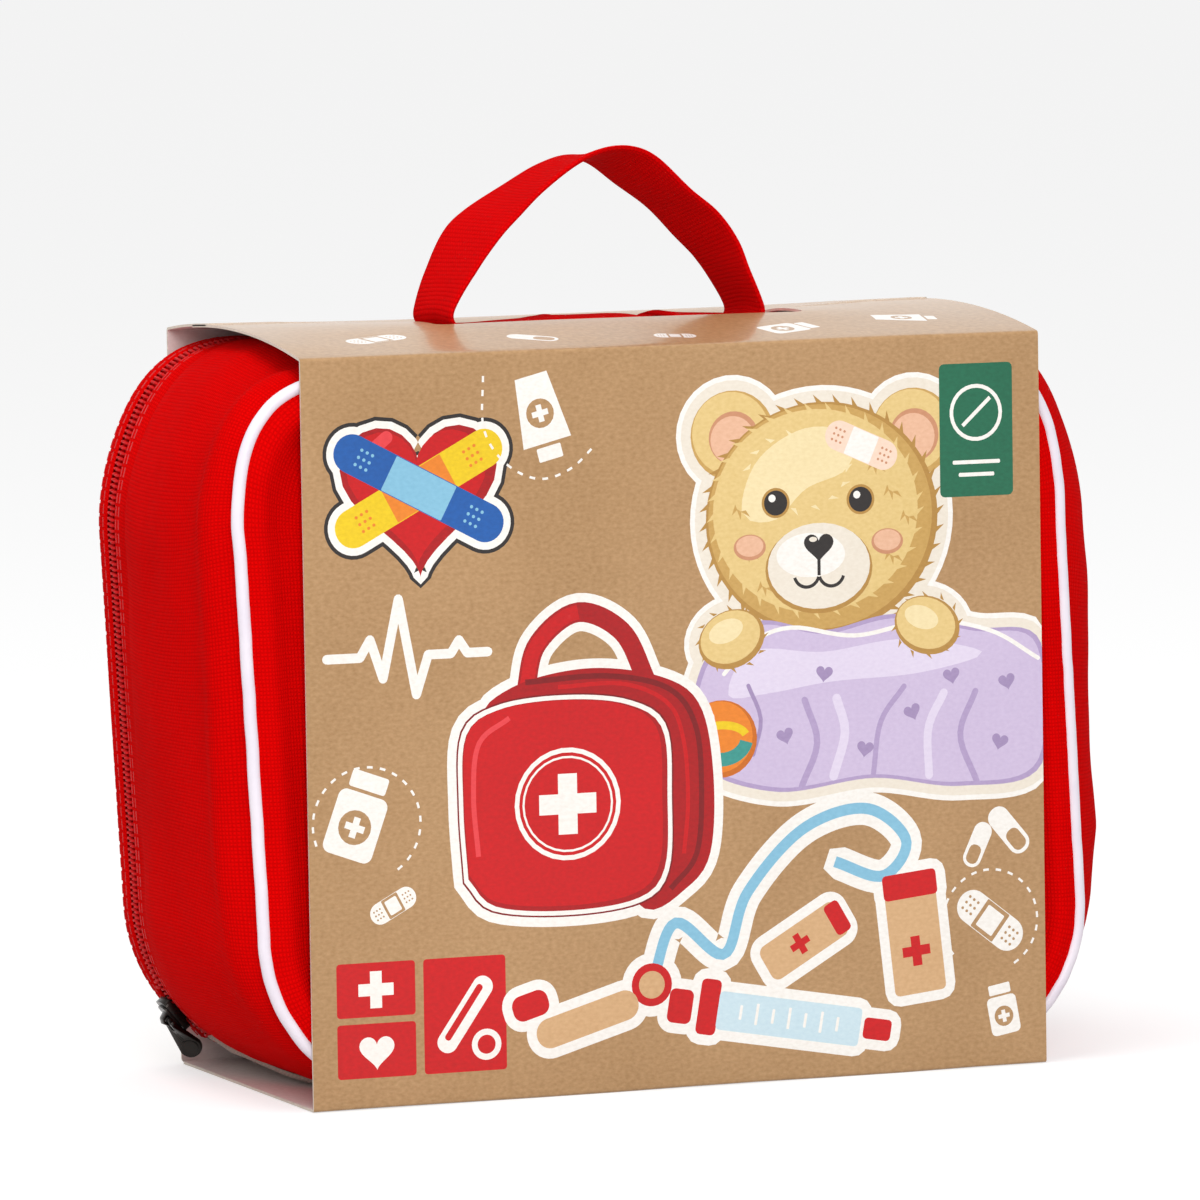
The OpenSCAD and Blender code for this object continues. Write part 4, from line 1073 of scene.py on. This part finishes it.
nylon = Finish("nylon coil")
wear = nylon.grain(300, 2)
nylon.surface({
    "Base Color": nylon.mix(wear, ink("b8040a"), ink("d8080e")), "Roughness": 0.5 + wear * 0.2, "Specular IOR Level": 0.2,
    "Normal": nylon.bump(wear, 0.04 * MM),
})
coil_pitch = 1.3
for name, y, low, start, body, node in (
    ("front_coil", 32.15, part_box("zip_teeth_front")[0].z / MM + 1.2, 0.3, "tub", "zip_teeth_front"),
    ("back_coil", 33.85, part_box("zip_teeth_back")[0].z / MM + 1.0, 0.3 + coil_pitch / 2, "cover", "zip_teeth_back"),
):
    coil = rank(name, arch(y, tape_inset - 0.7, 0.08, at=zip_line, low=low), coil_pitch, start, coil_turn(1.15, 0.42, 0.36, 0.0), nylon.material)
    dress(coil, None, "zip_teeth", body, node)


# Stitching: a doubled row along the zip's front hem, a single row along its back hem, and one by the back seam.
thread = Finish("sewing thread")
twist = thread.grain(1800, 1)
thread.surface({
    "Base Color": thread.mix(twist, ink("a80208"), ink("c8060c")), "Roughness": 0.55, "Normal": thread.bump(twist, 0.05 * MM),
})


def stitch(length, radius):
    """One stitch: a short straight thread with closed ends."""

    def make(nodes):
        line = nodes.node("GeometryNodeCurveQuadraticBezier", None, {
            "Resolution": 5, "Start": (-length / 2 * MM, 0, 0), "Middle": (0, 0, 0), "End": (length / 2 * MM, 0, 0),
        })
        section = nodes.node("GeometryNodeCurvePrimitiveCircle", None, {"Resolution": 6, "Radius": radius * MM})
        return nodes.node("GeometryNodeCurveToMesh", None, {"Curve": line, "Profile Curve": section, "Fill Caps": True})

    return make


for name, y, body in (("front_hem_stitches", 28.2, "tub"), ("front_hem_stitches_two", 26.4, "tub"), ("back_hem_stitches", 37.6, "cover"), ("back_seam_stitches", 41.0, "cover")):
    seam = rank(name, arch(y, 0.05, 0.05, low=8.2), 3.1, 0.5, stitch(2.3, 0.19), thread.material)
    dress(seam, None, "red_fabric", body)


# Hinge strip: cloth sewn to the floor of the case and to the foot of its back. On the case it bends as it opens; here
# it keeps its closed shape.
hinge_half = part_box("hinge_fold")[1].x / MM
hinge_line = smooth_line(np.array([(26.3, 2.45), (31, 2.25), (36, 1.75), (40, 1.95), (42.9, 3.3), (44.3, 5.6), (44.35, 8), (43.9, 9.6)]), 0.7)
way = np.gradient(hinge_line, axis=0)
way /= np.linalg.norm(way, axis=1)[:, None]
out = np.c_[-way[:, 1], way[:, 0]]
strip_t = 0.7
across = np.linspace(-hinge_half, hinge_half, 60)
hinge_rows = []
for t in (-strip_t / 2, strip_t / 2):
    spots = hinge_line + out * t
    for y, z in spots if t < 0 else spots[::-1]:
        hinge_rows.append([(x, y + 0.15 * noise.noise(Vector((x / 14, y / 6, 0))), z) for x in across])
hinge = loft("hinge_strip", hinge_rows, joined=True, ring=False)
dress(hinge, binding_cloth, "red_binding", None, "hinge_fold", "hinge_wrap")
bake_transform(hinge)


# End tabs: folded coated cloth over both ends of the zip, wide at the slider and narrow at the floor.
tab_low, tab_high = (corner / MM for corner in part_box("zip_end_tab_left"))
tab_cloth = woven("coated tab cloth", ink("b5a59a"), ink("8f8077"), pitch=0.9, relief=0.14, rough=0.5)
turn_spots, _ = outline(zip_line)
turn_r = corner_r + 4 * swell(zip_line)
turn_x, turn_z = seam_half + side_swell * swell(zip_line) - turn_r, turn_spots[:, 1].min() + turn_r


def zip_place(angle, out):
    """A spot on the zip's lower left corner, `out` of the skin: place across and up."""
    a = math.radians(angle)
    z = turn_z + (turn_r + out) * math.sin(a)
    return -turn_x + (turn_r + out) * math.cos(a) + lean(z), z


def skin_place(angle, y, out):
    """A spot on the lower left corner of the skin at any depth."""
    share = swell(y)
    r = corner_r + 4 * share
    low = seam_low - cord_r * min(1, 2.5 * share)
    a = math.radians(angle)
    z = low + r + (r + out) * math.sin(a)
    return -(seam_half + side_swell * share - r) + (r + out) * math.cos(a) + lean(z), z


# Each tab's front edge and back edge, as angles round the corner and depths. The left one is pulled
# forward under the case, where the photograph shows it.
back_edge = [(236.5, tab_high.y), (269, tab_high.y)]
for side, name, front_edge in (
    (1, "left_end_tab", [(231, 24), (236, 16), (243, 3), (250, -9), (256, -16)]),
    (-1, "right_end_tab", [(239, 30.4), (250, 31), (260, 33), (268, 35)]),
):
    steps = np.linspace(0, 1, 30)
    fronts = smooth_line(np.array(front_edge, float), 0.5)
    fronts = np.stack([np.interp(steps, np.linspace(0, 1, len(fronts)), fronts[:, k]) for k in (0, 1)], 1)
    backs = np.stack([np.interp(steps, (0, 1), [edge[k] for edge in back_edge]) for k in (0, 1)], 1)
    section = [(0, -0.1), (0.01, 0.5), (0.03, 0.85), (0.08, 0.7), (0.2, 0.55), (0.4, 0.5), (0.6, 0.5), (0.8, 0.5), (0.93, 0.62), (1, 0.4)]
    section += [(share, 0.02) for share in (0.98, 0.8, 0.6, 0.4, 0.2, 0.05)]
    tab_rows = []
    for share, out in section:
        points = []
        for (angle, y), (angle_back, y_back) in zip(fronts, backs):
            y_here = y + (y_back - y) * share
            sunk = min(1, max(0, (y_here - tub_edge) / 2 + 0.5))
            crumple = 0.3 * noise.noise(Vector((angle / 7, y_here / 6, 0)))
            x, z = skin_place(angle + (angle_back - angle) * share, y_here, out - 0.5 * sunk + (crumple if out > 0.2 else 0))
            points.append((x if side > 0 else 2 * lean(z) - x, y_here, max(z, board_face + 0.1)))
        tab_rows.append(points)
    tab = loft(name, tab_rows, joined=True, ring=False)
    dress(tab, tab_cloth, "grey_tab", "tub", "zip_end_tab_left" if side > 0 else "zip_end_tab_right")


# Zip metal: a cast slider with its bail and pull, and two stamped end stops.
gunmetal = Finish("gunmetal")
cast = gunmetal.grain(700, 3)
scuffs = gunmetal.grain(120, 4)
gunmetal.surface({
    "Base Color": gunmetal.mix(scuffs, ink("0e0d0d"), ink("3c3835")), "Metallic": 0.95, "Roughness": 0.16 + scuffs * 0.25,
    "Normal": gunmetal.bump(cast + scuffs * 2, 0.06 * MM),
})


def pressed(outline_points, low, high, soft, holes=()):
    """A flat plate with soft edges: z up from `low` to `high`, points in its own plane."""
    import bmesh
    work = bmesh.new()
    loops = [outline_points, *holes]
    points = np.concatenate(loops)
    joins, at = [], 0
    for loop in loops:
        joins += [(at + k, at + (k + 1) % len(loop)) for k in range(len(loop))]
        at += len(loop)
    flat, _, faces, _, _, _ = delaunay_2d_cdt([Vector(point) for point in points], joins, [], 1, 1e-5, False)
    verts = [work.verts.new((point.x, point.y, low)) for point in flat]
    centre = [sum((Vector(flat[k]) for k in face), Vector((0, 0))) / len(face) for face in faces]
    base = [work.faces.new([verts[k] for k in face]) for face, mid in zip(faces, centre) if not any(covered(np.asarray(hole, float), np.array([tuple(mid)]))[0] for hole in holes)]
    lifted = bmesh.ops.extrude_face_region(work, geom=base)
    bmesh.ops.translate(work, vec=(0, 0, high - low), verts=[part for part in lifted["geom"] if isinstance(part, bmesh.types.BMVert)])
    bmesh.ops.recalc_face_normals(work, faces=work.faces)
    edges = [edge for edge in work.edges if len(edge.link_faces) == 2 and edge.calc_face_angle() > 0.9]
    bmesh.ops.bevel(work, geom=edges, offset=soft, segments=2, affect="EDGES", profile=0.6, clamp_overlap=True)
    mesh = bpy.data.meshes.new("part")
    work.to_mesh(mesh)
    work.free()
    return mesh


def assembled(name, parts, frame_axes):
    """Joins plates into one piece. Each part has a mesh and its own place within the piece."""
    import bmesh
    work = bmesh.new()
    for mesh, place in parts:
        mesh.transform(place)
        work.from_mesh(mesh)
        bpy.data.meshes.remove(mesh)
    work.transform(frame_axes)
    work.transform(Matrix.Scale(MM, 4))
    whole = bpy.data.meshes.new(name)
    work.to_mesh(whole)
    work.free()
    return settle_mesh(whole, name, 35)


slider_low, slider_high = (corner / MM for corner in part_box("zip_slider"))
slider_at = 220
x, z = zip_place(slider_at, 0)
a = math.radians(slider_at)
outward, downward = Vector((math.cos(a), 0, math.sin(a))), Vector((-math.sin(a), 0, math.cos(a)))
slider_axes = Matrix((Vector((0, 1, 0)), downward, outward)).transposed().to_4x4()
if slider_axes.determinant() < 0:
    slider_axes = Matrix((Vector((0, -1, 0)), downward, outward)).transposed().to_4x4()
slider_axes = Matrix.Translation((x, zip_line, z)) @ slider_axes
flat_place = Matrix.Identity(4)
upright_place = Matrix.Rotation(math.radians(90), 4, "Z") @ Matrix.Rotation(math.radians(90), 4, "X")
body_outline = smooth_line(np.array([(-3.4, -2.6), (-2.9, -4.0), (-1.2, -4.6), (1.2, -4.6), (2.9, -4.0), (3.4, -2.6), (3.35, 0.6), (2.75, 3.6), (2.2, 4.4), (0, 4.6), (-2.2, 4.4), (-2.75, 3.6), (-3.35, 0.6), (-3.4, -2.6)], float), 0.6)[:-1]
bail = [(-2.2, 1.4), (-1.7, 2.9), (-1.2, 4.2), (0, 4.75), (1.2, 4.2), (1.7, 2.9), (2.2, 1.4)]
slider = assembled("slider_body", [
    (pressed(body_outline, 0.3, 2.0, 0.4), flat_place),
    (pressed(body_outline * 0.75, 1.9, 2.6, 0.3), flat_place),
    (pressed(plate(0, 0, 5.2, 8.6, 1.2), -3.0, -2.0, 0.25), flat_place),
    (pressed(plate(0, -2.6, 1.0, 3.0, 0.3), -2.2, 0.8, 0.08), flat_place),
    (pressed(plate(-2.35, 0, 0.7, 4.2, 0.2), -1.0, 0.9, 0.1), flat_place),
    (pressed(plate(2.35, 0, 0.7, 4.2, 0.2), -1.0, 0.9, 0.1), flat_place),
    (pressed(np.array(bail), -1.3, 1.3, 0.3, [disc(0, 3.2, 0.9, sides=16)]), upright_place),
], slider_axes)
dress(slider, gunmetal.material, "dark_metal", "slider", "zip_slider")
pull_shape = plate(0, 5.2, 5.6, 12.6, 2.7)


def twisted(mesh, angle, low, high):
    """Turns a plate about its length: not at all before `low`, and by the full angle from `high` on."""
    for vertex in mesh.vertices:
        share = min(1.0, max(0.0, (vertex.co.y - low) / (high - low)))
        vertex.co = Matrix.Rotation(angle * share * share * (3 - 2 * share), 4, "Y") @ vertex.co
    return mesh


pull_turn = math.radians(-50) * slider_axes.col[0].y
pull_axes = slider_axes @ Matrix.Translation((0, 0, 3.2))
pull = assembled("pull_tab", [
    (twisted(pressed(pull_shape, -0.7, 0.7, 0.3, [plate(0, 1.3, 2.9, 3.8, 0.6), disc(0, 8.9, 1.2, sides=20)]), pull_turn, 3.2, 6.4), flat_place),
    (twisted(pressed(band(np.concatenate([disc(0, 8.9, 1.9, sides=24)] + [disc(0, 8.9, 1.9, sides=24)[:1]]), 0.5), 0.6, 0.95, 0.08), pull_turn, 3.2, 6.4), flat_place),
    (pressed(disc(0, 0, 0.6, sides=14), -2.8, 2.8, 0.1), Matrix.Rotation(math.radians(90), 4, "Y")),
], pull_axes)
dress(pull, gunmetal.material, "dark_metal", "pull", "zip_pull")
stops = []
for side in (1, -1):
    x, z = zip_place(238 - 2.5, -tape_inset)
    a = math.radians(235.5)
    axes = Matrix((Vector((0, 1, 0)), Vector((-math.sin(a), 0, math.cos(a))), Vector((math.cos(a), 0, math.sin(a))))).transposed().to_4x4()
    place = Matrix.Translation((x, zip_line, z)) @ axes
    if side < 0:
        place = Matrix.Translation((2 * lean(z), 0, 0)) @ Matrix.Scale(-1, 4, (1, 0, 0)) @ place
    stops.append((pressed(plate(0, 0, 1.2, 2.0, 0.3), 0, 1.2, 0.2), place))
stop = assembled("end_stops", stops, Matrix.Identity(4))
dress(stop, gunmetal.material, "dark_metal", "tub", "zip_stops")


# Pieces that stay as they are in the solid model: the white badge on the front, the stiff floor board
# and the webbing under the handle's seams.
badge_ink = Finish("white screen print")
edges = badge_ink.grain(700, 3)
badge_ink.surface({"Base Color": badge_ink.mix(edges, ink("f2f0ee"), ink("dcd8d4")), "Roughness": 0.5 + edges * 0.1, "Normal": badge_ink.bump(edges, 0.05 * MM)})
stiff = Finish("grey stiff board")
pulp = stiff.grain(240, 5)
stiff.surface({"Base Color": stiff.mix(pulp, ink("8a8178"), ink("b0a598")), "Roughness": 0.8, "Normal": stiff.bump(pulp, 0.15 * MM)})
backing = Finish("backing webbing")
ribs = (backing.node("ShaderNodeSeparateXYZ", None, {0: backing.place()}) * (2 * math.pi / (1.4 * MM))).sine()
backing.surface({"Base Color": backing.mix(ribs * 0.3 + backing.grain(80, 2) * 0.6, ink("8e0a10"), ink("c01018")), "Roughness": 0.7, "Normal": backing.bump(ribs, 0.2 * MM)})
for node, look in (("badge_print", badge_ink), ("floor_board", stiff), ("handle_backing", backing)):
    kept = bpy.data.objects[node]
    kept.data.materials.clear()
    kept.data.materials.append(look.material)
